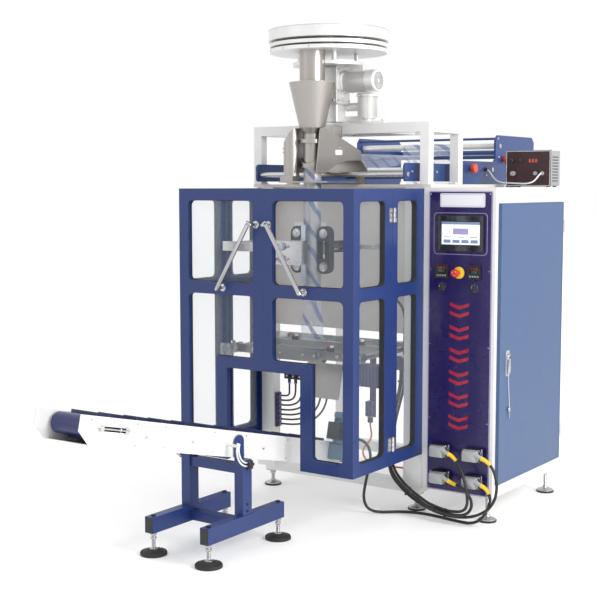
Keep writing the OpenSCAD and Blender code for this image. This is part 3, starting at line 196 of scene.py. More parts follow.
surface("white_paint", (0.74, 0.74, 0.735), 0.36, coat=0.25, wear=0.1)
# beige_paint is painted shade: the back panel is white paint, and its darker cream tone
# here stands in for shade. The top deck takes the same tone.
surface("beige_paint", (0.66, 0.62, 0.585), 0.42, coat=0.1)
surface("guard_blue", (0.009, 0.030, 0.145), 0.42, coat=0.1, wear=0.2)
surface("cabinet_blue", (0.042, 0.088, 0.20), 0.42, coat=0.15)
surface("film_unit_blue", (0.013, 0.045, 0.175), 0.42, coat=0.25, wear=0.15)
surface("purple_panel", (0.012, 0.005, 0.080), 0.26, coat=0.15, bump=0.02)
surface("label_white", (0.82, 0.82, 0.86), 0.3, coat=0.3, bump=0.02)
surface("black_plastic", (0.016, 0.016, 0.018), 0.42, bump=0.12)
surface("screen", (0.84, 0.88, 0.92), 0.18, coat=0.5, glow=0.5, bump=0.0)
surface("connector_grey", (0.36, 0.37, 0.38), 0.45, bump=0.2)
surface("clear_pane", (0.55, 0.62, 0.68), 0.05, alpha=0.07, bump=0.0, edge=0)
brushed("stainless", (0.43, 0.405, 0.38), 0.32, vary=0.08)
brushed("machined_steel", (0.62, 0.62, 0.62), 0.26, "x")
surface("cast_alloy", (0.80, 0.795, 0.785), 0.36, metal=0.55, bump=0.1, vary=0.07)
brushed("foot_steel", (0.50, 0.50, 0.50), 0.22)
surface("handle_chrome", (0.50, 0.50, 0.51), 0.16, metal=1.0, bump=0.02)
surface("red_button", (0.62, 0.015, 0.012), 0.25, coat=0.6, bump=0.03)
surface("knob_red", (0.75, 0.08, 0.03), 0.35, coat=0.3)
brushed("jaw_dark", (0.30, 0.29, 0.29), 0.34, "x")
brushed("sealer_steel", (0.52, 0.56, 0.63), 0.3)
surface("belt_black", (0.022, 0.022, 0.024), 0.6, bump=0.3, vary=0.15)
surface("belt_blue", (0.010, 0.015, 0.10), 0.36, bump=0.12, coat=0.2, vary=0.12)
motor_look = {"bump": 0.3, "grain": 420, "coat": 0.2, "wear": 0.2}
surface("motor_grey", (0.105, 0.20, 0.28), 0.42, **motor_look)
surface("valve_violet", (0.055, 0.042, 0.13), 0.42, bump=0.1)
surface("cable_black", (0.014, 0.014, 0.015), 0.42, bump=0.2, edge=0)
surface("hose_grey", (0.05, 0.05, 0.055), 0.35, bump=0.08, edge=0)
surface("lead_white", (0.72, 0.72, 0.73), 0.4, bump=0.05, edge=0)
surface("case_grey", (0.30, 0.305, 0.315), 0.45, bump=0.15, wear=0.1)
surface("yellow", (0.80, 0.55, 0.015), 0.42, coat=0.2)
surface("orange_hose", (0.70, 0.20, 0.05), 0.38, bump=0.06, edge=0)
surface("lilac_line", (0.42, 0.36, 0.62), 0.35, bump=0.02)
surface("red_print", (0.36, 0.012, 0.035), 0.25, coat=0.3, bump=0.02)
surface("maroon", (0.030, 0.006, 0.009), 0.36, coat=0.1)
surface("rubber", (0.018, 0.018, 0.019), 0.62, bump=0.35, vary=0.2)
surface("paper", (0.86, 0.86, 0.85), 0.75, bump=0.05, edge=0)
surface("digit_red", (0.45, 0.04, 0.02), 0.4, glow=0.3, edge=0)
surface("digit_green", (0.06, 0.32, 0.12), 0.4, glow=0.3, edge=0)
surface("screen_blue", (0.20, 0.26, 0.45), 0.3, glow=0.15, edge=0)
surface("dark_glass", (0.02, 0.02, 0.025), 0.1, coat=0.8, bump=0.0)
film_material("film", (0.76, 0.80, 0.88), (0.16, 0.24, 0.46), 5.0)
surface("reel_film", (0.70, 0.74, 0.82), 0.28, coat=0.3, stretch=(40, 1, 1), vary=0.12)

STEEL, BLACK = "machined_steel", "black_plastic"

for part in frame["record"]["subparts"]:
    for material_slot in frame["nodes"][part["node"]].material_slots:
        material_slot.material = MAT[part["material_slot"]]


# --- shape builder


def rounded(a0, a1, b0, b1, r, n=6):
    """Outline of a rectangle with round corners."""
    corners = [(a1 - r, b1 - r, 0), (a0 + r, b1 - r, 90), (a0 + r, b0 + r, 180)]
    corners.append((a1 - r, b0 + r, 270))
    points = []
    for ca, cb, start in corners:
        for k in range(n + 1):
            t = radians(start + 90 * k / n)
            points.append((ca + r * cos(t), cb + r * sin(t)))
    return points


def plate(a, b, half_a, half_b, r, n=6):
    """Outline of a round-cornered plate about its centre."""
    return rounded(a - half_a, a + half_a, b - half_b, b + half_b, r, n)


def span(s, a, b):
    """The stretch from a to b on side s, 1 or -1, of the middle."""
    return sorted((s * a, s * b))


def lift(plane, points, t):
    """Points of an outline in plane xz, yz or xy at the place t across it."""
    if plane == "xz":
        return [(a, t, b) for a, b in points]
    if plane == "yz":
        return [(t, a, b) for a, b in points]
    return [(a, b, t) for a, b in points]


def at_each(make):
    """Lets a feature be made once at a base, or at every base of a list."""

    def made(self, base, *rest, **more):
        for one in base if isinstance(base, list) else [base]:
            make(self, Vector(one), *rest, **more)
        return self

    return made


def wheel_of(axis, count):
    """An axis's unit vector and count spokes square to it."""
    w = Vector(axis).normalized()
    u = w.orthogonal().normalized()
    v = w.cross(u)
    return w, [u * c + v * s for c, s in spread((0, 0), 1, count)]


class Shape:
    """Collects skins of quads in layout millimetres and makes one piece of them."""

    def __init__(self, local=None):
        self.bm = bmesh.new()
        self.local = local or Matrix.Identity(4)
        self.index = 0

    def paint(self, index):
        """What follows takes the piece's material of that index."""
        self.index = index
        return self

    def skin(self, rings, caps=True, around=True):
        made = [[self.bm.verts.new(p) for p in ring] for ring in rings]
        count = len(made[0])
        faces = []
        for low, high in zip(made, made[1:]):
            for k in range(count if around else count - 1):
                j = (k + 1) % count
                faces.append(self.bm.faces.new((low[k], low[j], high[j], high[k])))
        if caps:
            faces.append(self.bm.faces.new(made[0][::-1]))
            faces.append(self.bm.faces.new(made[-1]))
        for face in faces:
            face.material_index = self.index
        return self

    def prism(self, plane, points, lo, hi):
        return self.skin([lift(plane, points, lo), lift(plane, points, hi)])

    def box(self, x0, x1, y0, y1, z0, z1):
        return self.prism("xy", [(x0, y0), (x1, y0), (x1, y1), (x0, y1)], z0, z1)

    def hoop(self, plane, outer, inner, lo, hi):
        rings = [lift(plane, outer, lo), lift(plane, outer, hi)]
        rings += [lift(plane, inner, hi), lift(plane, inner, lo)]
        return self.skin(rings + rings[:1], caps=False)

    def border(self, plane, sides, r, inset, lo, hi, n=6, r_in=None):
        """Frame of even width inside a round-cornered rectangle."""
        a0, a1, b0, b1 = sides
        inner = (a0 + inset, a1 - inset, b0 + inset, b1 - inset)
        outline = rounded(*inner, r if r_in is None else r_in, n)
        return self.hoop(plane, rounded(*sides, r, n), outline, lo, hi)

    @at_each
    def turned(self, base, axis, profile, n=40):
        """Profile of (radius, height) pairs turned round an axis."""
        w, outs = wheel_of(axis, n)
        self.skin([[base + w * h + out * r for out in outs] for r, h in profile])

    def sweep(self, points, radii, n=14):
        """Round tube along points, with one radius or one for each point."""
        if not hasattr(radii, "__len__"):
            radii = [radii] * len(points)
        points = [Vector(p) for p in points]
        circle = spread((0, 0), 1, n)
        u = None
        rings = []
        for i, p in enumerate(points):
            w = points[min(i + 1, len(points) - 1)] - points[max(i - 1, 0)]
            w.normalize()
            u = w.orthogonal() if u is None else u - w * u.dot(w)
            u.normalize()
            v = w.cross(u)
            rings.append([p + (u * c + v * s) * radii[i] for c, s in circle])
        return self.skin(rings)

    @at_each
    def fins(self, base, axis, r0, r1, h0, h1, count, thick=2.0, skip=()):
        """Cooling fins that stand out from a motor's round body."""
        w, outs = wheel_of(axis, count)
        for k, out in enumerate(outs):
            if k in skip:
                continue
            side = w.cross(out) * (thick / 2)
            rings = []
            for h, r in ((h0, r1 - 1.5), (h0 + 2, r1), (h1 - 2, r1), (h1, r1 - 1.5)):
                p = base + w * h
                foot, tip = p + out * r0, p + out * r
                rings.append([foot - side, foot + side, tip + side, tip - side])
            self.skin(rings)

    def pin(self, base, axis, r, h, cut=0.8, n=28, rise=None):
        """Cylinder whose two rims are cut back."""
        rise = cut if rise is None else rise
        profile = [(r - cut, 0), (r, rise), (r, h - rise), (r - cut, h)]
        return self.turned(base, axis, profile, n)

    def screw(self, base, axis, r=5.0, h=4.0):
        """Domed socket head with its recess."""
        profile = [(r, 0), (r, h * 0.6), (r * 0.8, h), (r * 0.45, h)]
        profile.append((r * 0.42, h * 0.35))
        return self.turned(base, axis, profile, 18)

    def nut(self, base, axis, r=9.0, h=7.0):
        profile = [(r * 0.92, 0), (r, h * 0.15), (r, h * 0.85), (r * 0.92, h)]
        return self.turned(base, axis, profile, 6)

    def done(
        self, name, mats, bevel=0.0, body="machine", slot=None, node=None, thin=False
    ):
        """Makes the piece, with a bevel in millimetres, on a body, for a node."""
        mats = mats.split()
        bm = self.bm
        bmesh.ops.remove_doubles(bm, verts=bm.verts, dist=0.002)
        if not thin:
            bmesh.ops.recalc_face_normals(bm, faces=bm.faces)
        to_row = Matrix.Scale(0.001, 4) @ Matrix.Translation(-ORIGIN)
        bmesh.ops.transform(bm, matrix=to_row @ self.local, verts=bm.verts)
        mesh = bpy.data.meshes.new(name)
        bm.to_mesh(mesh)
        bm.free()
        for mat in mats:
            mesh.materials.append(MAT[mat])
        mesh.shade_smooth()
        mesh.set_sharp_from_angle(angle=radians(180 if thin else 35))
        piece = bpy.data.objects.new(name, mesh)
        bpy.context.scene.collection.objects.link(piece)
        if bevel:
            soften = piece.modifiers.new("edges", "BEVEL")
            soften.width = bevel / 1000
            soften.segments = 2
            soften.limit_method = "ANGLE"
            soften.angle_limit = radians(40)
            soften.harden_normals = True
        if body:
            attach(piece, body)
        if node:
            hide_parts(node)
        return piece


# --- cables and hoses


def between(a, b, ta, tb, t):
    return a * ((tb - t) / (tb - ta)) + b * ((t - ta) / (tb - ta))


def smooth_route(points, steps=8):
    """Centripetal Catmull-Rom line through a route's points, in millimetres."""
    p = [Vector(q) for q in points]
    p = [p[0] * 2 - p[1], *p, p[-1] * 2 - p[-2]]
    line = []
    for i in range(1, len(p) - 2):
        a, b, c, d = p[i - 1 : i + 3]
        t0 = 0.0
        t1 = t0 + sqrt((b - a).length)
        t2 = t1 + sqrt((c - b).length)
        t3 = t2 + sqrt((d - c).length)
        for k in range(steps):
            t = t1 + (t2 - t1) * k / steps
            ab, cd = between(a, b, t0, t1, t), between(c, d, t2, t3, t)
            bc = between(b, c, t1, t2, t)
            abc, bcd = between(ab, bc, t0, t2, t), between(bc, cd, t1, t3, t)
            line.append(between(abc, bcd, t1, t2, t))
    line.append(p[-2])
    return line


def cable(name, points, d, node, mat="hose_grey", slot=None, body="machine", **facts):
    """A free cable: a curve along its route."""
    line = smooth_route(points)
    data = bpy.data.curves.new(name, "CURVE")
    data.dimensions = "3D"
    data.bevel_depth = d / 2000
    data.bevel_resolution = 5
    data.use_fill_caps = True
    spline = data.splines.new("POLY")
    spline.points.add(len(line) - 1)
    for point, p in zip(spline.points, line):
        point.co = (*at(*p), 1)
    spline.use_smooth = True
    data.materials.append(MAT[mat])
    piece = bpy.data.objects.new(name, data)
    bpy.context.scene.collection.objects.link(piece)
    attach(piece, body)
    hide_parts(node)


CABLE_D = 15.0
CABLES = {
    "cable_top_left": [
        (710, 602, 357), (730, 602, 349), (756, 599, 330), (780, 592, 304),
        (801, 583, 274), (819, 574, 239), (832, 567, 202), (840, 564, 164),
        (839, 566, 128), (825, 571, 98), (797, 577, 80), (760, 584, 72), (722, 590, 69),
        (682, 592, 73), (642, 593, 81), (603, 595, 91), (556, 600, 111),
        (501, 605, 139), (447, 613, 172), (401, 624, 211), (371, 638, 248),
        (355, 654, 289), (348, 671, 336), (345, 685, 388), (347, 694, 444),
        (357, 699, 503), (372, 701, 562), (388, 701, 623), (398, 700, 683),
        (402, 699, 732.3),
    ],
    "cable_low_left": [
        (710, 602, 221), (730, 602, 213), (762, 592, 208), (790, 581, 203),
        (816, 580, 190), (837, 583, 168), (850, 588, 139), (851, 589, 108),
        (838, 585, 81), (813, 581, 64), (780, 579, 57), (738, 580, 56), (698, 581, 59),
        (650, 583, 67), (600, 586, 78), (550, 594, 98), (494, 600, 125),
        (438, 607, 160), (390, 617, 201), (359, 629, 242), (343, 644, 286),
        (336, 660, 335), (333, 675, 388), (335, 684, 445), (345, 689, 505),
        (360, 691, 564), (376, 691, 625), (386, 690, 684), (390, 689, 732.3),
    ],
    "cable_top_right": [
        (895, 602, 357), (915, 602, 349), (939, 602, 334), (960, 602, 309),
        (973, 602, 278), (983, 598, 244), (985, 593, 209), (981, 588, 174),
        (967, 586, 142), (945, 586, 113), (915, 587, 89), (878, 588, 69),
        (838, 590, 55), (796, 592, 47), (752, 593, 43), (710, 593, 44), (648, 594, 53),
        (596, 596, 66), (544, 600, 84), (487, 605, 111), (429, 613, 148),
        (379, 624, 190), (349, 638, 235), (332, 654, 283), (324, 671, 334),
        (321, 685, 388), (323, 694, 446), (334, 699, 507), (349, 701, 566),
        (365, 701, 627), (375, 700, 685), (378, 699, 732.3),
    ],
    "cable_low_right": [
        (895, 602, 221), (905, 602, 217), (925, 603, 204), (938, 605, 184),
        (943, 608, 160), (939, 612, 134), (929, 617, 107), (914, 622, 80),
        (895, 624, 54), (872, 629, 33), (844, 634, 18), (812, 637, 10), (778, 640, 8),
        (742, 644, 8), (704, 649, 8), (660, 657, 8), (616, 664, 8), (572, 668, 8),
        (528, 667, 8), (486, 659, 8), (446, 645, 8), (410, 624, 8), (378, 597, 8),
        (344, 568, 9), (311, 541, 16), (287, 523, 34), (275, 513, 64), (273, 508, 101),
        (278, 507, 138), (287, 505, 176), (297, 503, 213), (308, 500, 248),
        (318, 496, 282), (323, 490, 316), (321, 484, 348), (309, 477, 377),
        (287, 471, 395), (258, 469, 400),
    ],
}
LEAD = [
    (850, 1371, 1765), (849, 1352, 1760), (845, 1336, 1748), (838, 1324, 1733),
    (826, 1314, 1720), (808, 1308, 1713), (786, 1308, 1710), (762, 1314, 1710),
    (736, 1325, 1711), (708, 1339, 1712), (678, 1355, 1713), (646, 1373, 1714),
    (612, 1393, 1716), (578, 1414, 1722), (548, 1432, 1734), (524, 1447, 1751),
    (504, 1460, 1770), (487, 1468, 1784), (469.5, 1471, 1789),
]
JAW_HOSE = [
    (408, 680, 812), (408, 680, 836), (408, 680, 868), (408, 681, 902), (407, 686, 936),
    (405, 692, 972), (402, 697, 1008), (395, 699, 1042), (384, 695, 1073),
    (368, 683, 1101), (349, 668, 1125), (330, 653, 1144), (312, 642, 1158),
    (292, 636, 1167), (271, 639, 1171), (252.5, 652, 1173), (240, 670, 1173),
    (236, 690, 1173), (236, 705, 1173),
]
FEED_HOSE = [
    (471, 700, 226), (448, 700, 226), (420, 700, 225), (390, 701, 223), (360, 702, 221),
    (328, 703, 220), (296, 704, 220), (264, 704, 220), (234, 704, 221), (206, 703, 224),
    (178, 702, 232), (157, 701, 248), (148, 699, 272), (154, 697, 298), (170, 695, 320),
    (188, 693, 338), (201, 691, 359), (206, 690, 382), (203, 690, 406), (199, 690, 427),
    (198, 690, 446),
]


def sleeve(name, route, reach=56):
    """Tapered yellow strain relief with bead rings on a cable's start."""
    line, gone = [], 0.0
    for p in smooth_route(route):
        gone += (p - line[-1]).length if line else 0.0
        line.append(p)
        if gone > reach:
            break
    radii = []
    for i in range(len(line)):
        t = i / (len(line) - 1)
        radii.append(11.2 - 2.6 * t + (0.8 if i % 3 == 1 else 0.0))
    return Shape().sweep(line, radii, 20).done(name, "yellow", slot="cable_black")


BUNDLE = ("cable_top_left", "cable_low_left", "cable_top_right")
TIE_R = 8.3  # a cable's radius with room for the band


def tie(name, centre, across):
    """Plastic band round the three bundled cables where they pass a plane."""
    centre, across = Vector(centre), Vector(across).normalized()
    u = across.orthogonal().normalized()
    v = across.cross(u)
    flat = []
    for key in BUNDLE:
        hit = min(smooth_route(CABLES[key]), key=lambda p: (p - centre).length) - centre
        flat += spread((hit.dot(u), hit.dot(v)), TIE_R, 24)
    hull = [Vector(flat[i]) for i in convex_hull_2d(flat)]
    first = min(range(len(hull)), key=lambda i: hull[i][:])
    hull = hull[first:] + hull[:first]
    mid = sum(hull, Vector((0, 0))) / len(hull)
    rings = []
    for grow, shift in ((0, -3), (1.6, -3), (1.6, 3), (0, 3), (0, -3)):
        grown = [p + (p - mid).normalized() * grow for p in hull]
        rings.append([centre + u * a + v * b + across * shift for a, b in grown])
    band = Shape().skin(rings, caps=False)
    band.pin(rings[1][0] - across * 4, across, 5, 8, 1, 8)
    return band.done(name, BLACK, slot="cable_black")


ties = [
    tie("tie_floor_right", (705, 588, 61), (1, 0, -0.02)),
    tie("tie_floor_left", (475, 603, 122), (1, -0.2, -0.5)),
    tie("tie_riser_low", (341, 678, 400), (0, 0.15, 1)),
    tie("tie_riser_top", (387, 695, 680), (0.2, 0, 1)),
]
for key in BUNDLE:
    relief = sleeve("relief_" + key[6:], CABLES[key])
    cable(
        key,
        CABLES[key],
        CABLE_D,
        "connector_cables",
        "cable_black",
        lay="loose",
        with_pieces=[relief] + (ties if key == "cable_low_left" else []),
    )

# The fourth cable ends on the conveyor; it is swept as a plain fixed mesh.
route = CABLES["cable_low_right"]
line = smooth_route(route)
low_right = Shape().sweep(line, CABLE_D / 2, 16)
low_right = low_right.done(
    "cable_low_right", "cable_black", body=None, node="connector_cables"
)
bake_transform(low_right)
sleeve("relief_low_right", route)

# The air hoses leave the valves side by side and turn to the manifold.
HOSES, HOSE_STEP = 7, 42
VALVE_X, VALVE_Z = -310.0, 590.0
HOSE_Y, END_Y = 662.0, 755.0
END_X, END_Z, END_STEP = -436.0, 518.0, 27.0
for k in range(HOSES):
    start_x, end_z = VALVE_X + HOSE_STEP * k, END_Z - END_STEP * k
    points = [(start_x, HOSE_Y, 616)]
    for degrees in range(0, 91, 15):
        t = radians(degrees)
        x = END_X + (start_x - END_X) * cos(t)
        y = HOSE_Y + (END_Y - HOSE_Y) * (1 - cos(2 * t)) / 2
        points.append((x, y, VALVE_Z - (VALVE_Z - end_z) * sin(t)))
    cable(f"air_hose_{k}", points, 11.0, "air_hoses")
cable("jaw_hose", JAW_HOSE, 14.0, "air_hoses", stiffness="stiff")
cable("feed_hose", FEED_HOSE, 10.0, "air_hoses", "orange_hose", "hose_grey")
cable("printer_cord", LEAD, 8.0, "printer_lead", "lead_white", lay="loose")

KEY_X = 952.0
key = Shape()
key.pin((KEY_X - 1.5, 796, 578), X, 12, 3, 1, rise=0.8)
key.prism("yz", rounded(793, 799, 536, 570, 1.2, 2), KEY_X - 1.2, KEY_X + 1.2)
for z in (538, 545, 553):
    key.box(KEY_X - 1.2, KEY_X + 1.2, 798, 803, z, z + 4)
key.pin((KEY_X - 3, 796, 589), X, 5, 6, 1, 16)
key = key.done("cabinet_key", "handle_chrome", 0.3, "side_door")
KEY_STRING = [(780, 760), (781, 735), (784, 700), (788, 665), (792, 630), (796, 590)]
cable(
    "key_string",
    [(KEY_X, y, z) for y, z in KEY_STRING],
    3.0,
    "key_cord",
    "lead_white",
    body="side_door",
    far_end="fitting",
    stiffness="limp",
    with_pieces=[key],
)


# --- plugs

GLAND = Vector((20, 0, -8)).normalized()
FRONT = PANEL - 30  # the plug housings' front faces
plugs, hoods = Shape(), Shape()
for x, z in product((643, 828), (222, 358)):
    plugs.prism("xz", plate(x, z, 46, 33, 4, 3), FRONT, PANEL)
    seat = (x - 43, x + 43, z - 31, z + 31)
    plugs.border("xz", seat, 4, 2.5, FRONT - 4, FRONT, 3)
    rings = []
    for deep, inset in ((0, 0), (24, 0), (34, 3), (38, 9)):
        outline = plate(x, z, 40 - inset, 28 - inset, 7, 4)
        rings.append(lift("xz", outline, FRONT - deep))
    hoods.paint(0).skin(rings)
    start = Vector((x + 36, PANEL - 56, z - 1 + 31 * 0.4))
    hoods.turned(start, GLAND, [(13, 0), (13.5, 1), (13.5, 11), (12, 12)], 6)
    dome = [(10.5, 11), (11, 13), (11, 22), (10, 28), (8.4, 33.0)]
    hoods.turned(start, GLAND, dome, 28)
    clip = [(-47, 18, 0), (-47, 6, 12), (-46, -6, 30), (-42, -12, 31)]
    clip += [(42, -12, 31), (47, -6, 30), (48, 6, 12), (48, 18, 0)]
    wire = [(x + dx, FRONT + dy, z + dz) for dx, dy, dz in clip]
    hoods.paint(1).sweep(smooth_route(wire, 4), 1.8, 8)
    lever = [(46, -22), (52, -24), (58, 8), (57, 36), (53, 38), (49, 6)]
    lever = [(x + dx, z + dz) for dx, dz in lever]
    hoods.prism("xz", lever, PANEL - 26, PANEL - 20)
    hoods.screw(grid((x - 41, x + 41), FRONT, (z - 28, z + 28)), -Y, 3.2, 2.2)
plugs.done("plug_bases", BLACK, 1.2)
hoods.done("plug_hoods", "connector_grey machined_steel", 0.8, node="connectors")

# --- operator panel's parts

ESTOP = Vector((732, 0, 1267))
collar = Shape(ON_PANEL)
collar.turned(ESTOP, -Y, [(30, 0), (30, 4), (28.5, 6.5), (20, 10), (17, 10)], 56)
collar.turned(ESTOP, -Y, [(15, 9), (15, 10.3), (8.6, 10.7), (8, 12), (8, 28)], 36)
collar.done("estop_collar", "yellow", slot="connector_grey")
mushroom = Shape(ON_PANEL)
profile = [(9, 20), (9, 0), (13.5, 0), (13.5, 24), (17.5, 26), (21, 29), (21, 33)]
mushroom.turned(ESTOP - 16 * Y, -Y, profile + [(19, 36.5), (13, 38)], 48)
mushroom.paint(1)
for k in range(3):
    arc = spread((ESTOP.x, ESTOP.z), 10.5, 36, 120 * k + 12)[:7]
    mushroom.sweep(lift("xz", arc, -54.1), 0.9, 6)
mats = "red_button label_white"
mushroom.done("estop_mushroom", mats, body="estop", node="estop_button")

KNOB_XS, KNOB_Z = (638, 818), 1192
rings = Shape(ON_PANEL)
for side, x in zip(("left", "right"), KNOB_XS):
    knob = Shape(ON_PANEL)
    profile = [(6, -9), (6, 2.2), (15.2, 2.2), (16, 3), (16, 17), (14.5, 20), (12, 21)]
    knob.turned((x, 0, KNOB_Z), -Y, profile, 30)
    wing = [(-20, 1177), (-20, 1207), (-31, 1205), (-31, 1179)]
    knob.prism("yz", wing, x - 4, x + 4)
    knob.paint(1).box(x - 0.8, x + 0.8, -31.6, -30.8, 1194, 1204)
    body = side + "_selector"
    mats = "black_plastic label_white"
    knob.done(body + "_grip", mats, 0.8, body, node="knob_" + side)
    outer, inner = [spread((x, KNOB_Z), r, 48) for r in (19, 16.4)]
    rings.paint(0).hoop("xz", outer, inner, -2.5, -0.02)
    inner, outer = [spread((x, KNOB_Z), r, 8, 45)[:3] for r in (22, 26)]
    for tick in zip(inner, outer):
        rings.paint(1).sweep(lift("xz", tick, -0.6), 0.7, 6)
rings.done("selector_rings", "handle_chrome lilac_line")

CONTROLLER_XS = (637, 818)
display = Shape(ON_PANEL)
outer, inner = rounded(618, 868, 1374, 1552, 8), rounded(637, 849, 1407, 1520, 1.5)
display.hoop("xz", outer, inner, -11.6, 0)
display.box(632, 854, -8, -1, 1402, 1525)
outer = rounded(620.5, 865.5, 1376.5, 1549.5, 6)
inner = rounded(633.5, 852.5, 1403.5, 1523.5, 2)
display.paint(1).hoop("xz", outer, inner, -12, -11.5)
for x in CONTROLLER_XS:
    outer = rounded(x - 35, x + 35, 1237, 1306, 3)
    inner = rounded(x - 29, x + 29, 1243, 1301, 2)
    display.paint(0).hoop("xz", outer, inner, -10, 0)
    display.box(x - 30, x + 30, -7.5, -1, 1242, 1302)
    display.paint(1).box(x - 26, x + 26, -8.3, -7.4, 1265, 1298)
    display.paint(2)
    for k in range(4):
        display.prism("xz", plate(x - 21 + 14 * k, 1251, 4.5, 4, 2, 3), -9, -7.5)
mats = "black_plastic dark_glass connector_grey"
display.done("display_frames", mats, 0.6, node="operator_displays")

SEGMENTS = {"1": "bc", "5": "afgcd", "6": "afgedc", "8": "abcdefg"}


def digit(shape, text, x, z, w, h):
    """Seven-segment digit whose lower left corner is at x, z."""
    t = w * 0.16
    full, left, right = (0, w), (0, t), (w - t, w)
    low, high = (0, h / 2), (h / 2, h)
    middle = ((h - t) / 2, (h + t) / 2)
    bars = {"a": (full, (h - t, h)), "b": (right, high), "c": (right, low)}
    bars |= {"d": (full, left), "e": (left, low), "f": (left, high)}
    bars["g"] = (full, middle)
    for name in SEGMENTS[text]:
        (x0, x1), (z0, z1) = bars[name]
        shape.box(x + x0, x + x1, -8.9, -8.2, z + z0, z + z1)


readings = Shape(ON_PANEL)
for x, number in zip(CONTROLLER_XS, ("165", "158")):
    for k, text in enumerate(number):
        digit(readings.paint(0), text, x - 20 + 15 * k, 1283, 9, 13)
        digit(readings.paint(1), text, x - 16 + 12 * k, 1268, 6.5, 10)
readings.done("controller_digits", "digit_red digit_green", slot="screen")

menu = Shape(ON_PANEL)
screen = (-10.5, -9.9)
menu.box(638, 848.4, *screen, 1507, 1519)
for k in range(4):
    menu.prism("xz", rounded(648 + 50 * k, 688 + 50 * k, 1415, 1432, 3, 3), *screen)
menu.paint(1).prism("xz", rounded(700, 786, 1458, 1488, 5, 4), *screen)
menu.paint(2)
for k in range(3):
    menu.box(650 + 72 * k, 692 + 72 * k, -10.4, screen[1], 1443, 1447)
menu.done("screen_blocks", "screen_blue lilac_line connector_grey", slot="screen")

labels = Shape(ON_PANEL)
labels.prism("xz", rounded(623, 871, 1593, 1661, 8), -1.5, -0.05)
sides = (628, 866, 1598, 1656)
labels.paint(1).border("xz", sides, 5, 2, -1.9, -1.4, r_in=4)
labels.paint(2)
for z in [470 + 114 * k + step for k in range(6) for step in (0, 42)]:
    chevron = [(682, z + 18), (736, z), (790, z + 18)]
    chevron += [(790, z + 36), (736, z + 18), (682, z + 36)]
    labels.prism("xz", chevron, -0.9, -0.05)
mats = "label_white lilac_line red_print"
labels.done("panel_prints", mats, 0.2, node="panel_labels")

lines = Shape(ON_PANEL)
sides = (588, 885, 1357, 1565)
lines.border("xz", sides, 20, 2.5, -0.8, -0.03, r_in=18)
sides = (560.4, 909.6, 150.4, 1671.6)
lines.border("xz", sides, 6, 4.1, -0.7, -0.03, r_in=4)
heads = grid((572, 898), 0, (163, 520, 900, 1280, 1658))
lines.paint(1).screw(heads, -Y, 3.5, 2.0)
lines.done("panel_outlines", "lilac_line handle_chrome", slot="lead_white")

# --- feet


def threaded(shape, base, r_low, r_high, start, count):
    """Levelling spindle with a shallow thread of 1.6 mm pitch."""
    thread = [(r_low if k % 2 else r_high, start + 1.6 * k) for k in range(count)]
    shape.turned(base, Z, thread, 20)


feet = Shape()
FRAME_FEET = grid((-492, 449), (755, 1480), 91) + grid(858, (755, 1480), 145)
cup = [(45, 9), (45, 14), (40, 17), (24, 23), (15, 27), (12, 33), (10, 34)]
for x, y, top in FRAME_FEET:
    base = (x, y, 0)
    feet.paint(1).turned(base, Z, [(47, 0), (48, 2), (48, 9), (46, 10)], 44)
    feet.paint(0).turned(base, Z, cup, 44)
    threaded(feet, base, 9.5, 10.2, 33, int((top - 42) / 1.6))
    feet.nut((x, y, top - 26), Z, 17, 12)
    feet.prism("xy", plate(x, y, 28, 28, 3, 3), top - 8, top)
cup = [(60, 0), (63, 2), (63, 12), (60, 16), (52, 18), (48, 18), (44, 22)]
cup += [(26, 27), (24, 29)]
bases, nuts, tops = [grid((-164, 164), (-626, -99), z) for z in (0, 74, 93)]
feet.paint(1).turned(bases, Z, cup, 56)
feet.fins(bases, Z, 46, 60.5, 4, 18.5, 24, 3)
feet.paint(0).turned(bases, Z, [(20, 28), (20, 31), (12, 33), (9.2, 36)], 36)
threaded(feet, bases, 8.7, 9.3, 34, 44)
feet.nut(nuts, Z, 15, 10)
feet.turned(tops, Z, [(15, 0), (15.5, 1), (15.5, 13.5), (15, 14)], 30)
feet.done("machine_feet", "foot_steel rubber", node="levelling_feet")

# --- guard's details

# Panes are held by gaskets, in an upper and a lower row.
PANE_ROWS = ((1217, 1627), (381, 1157))
PANE_Y = (22, 29.6)
GASKET = 2.2
DOOR_PIN = (537, 351)
foot_profile = [(19, 0), (19, 3), (17, 4.5), (8, 5), (7.5, 8), (7.5, 40)]
foot_profile += [(9, 44), (9, 50), (7, 53)]

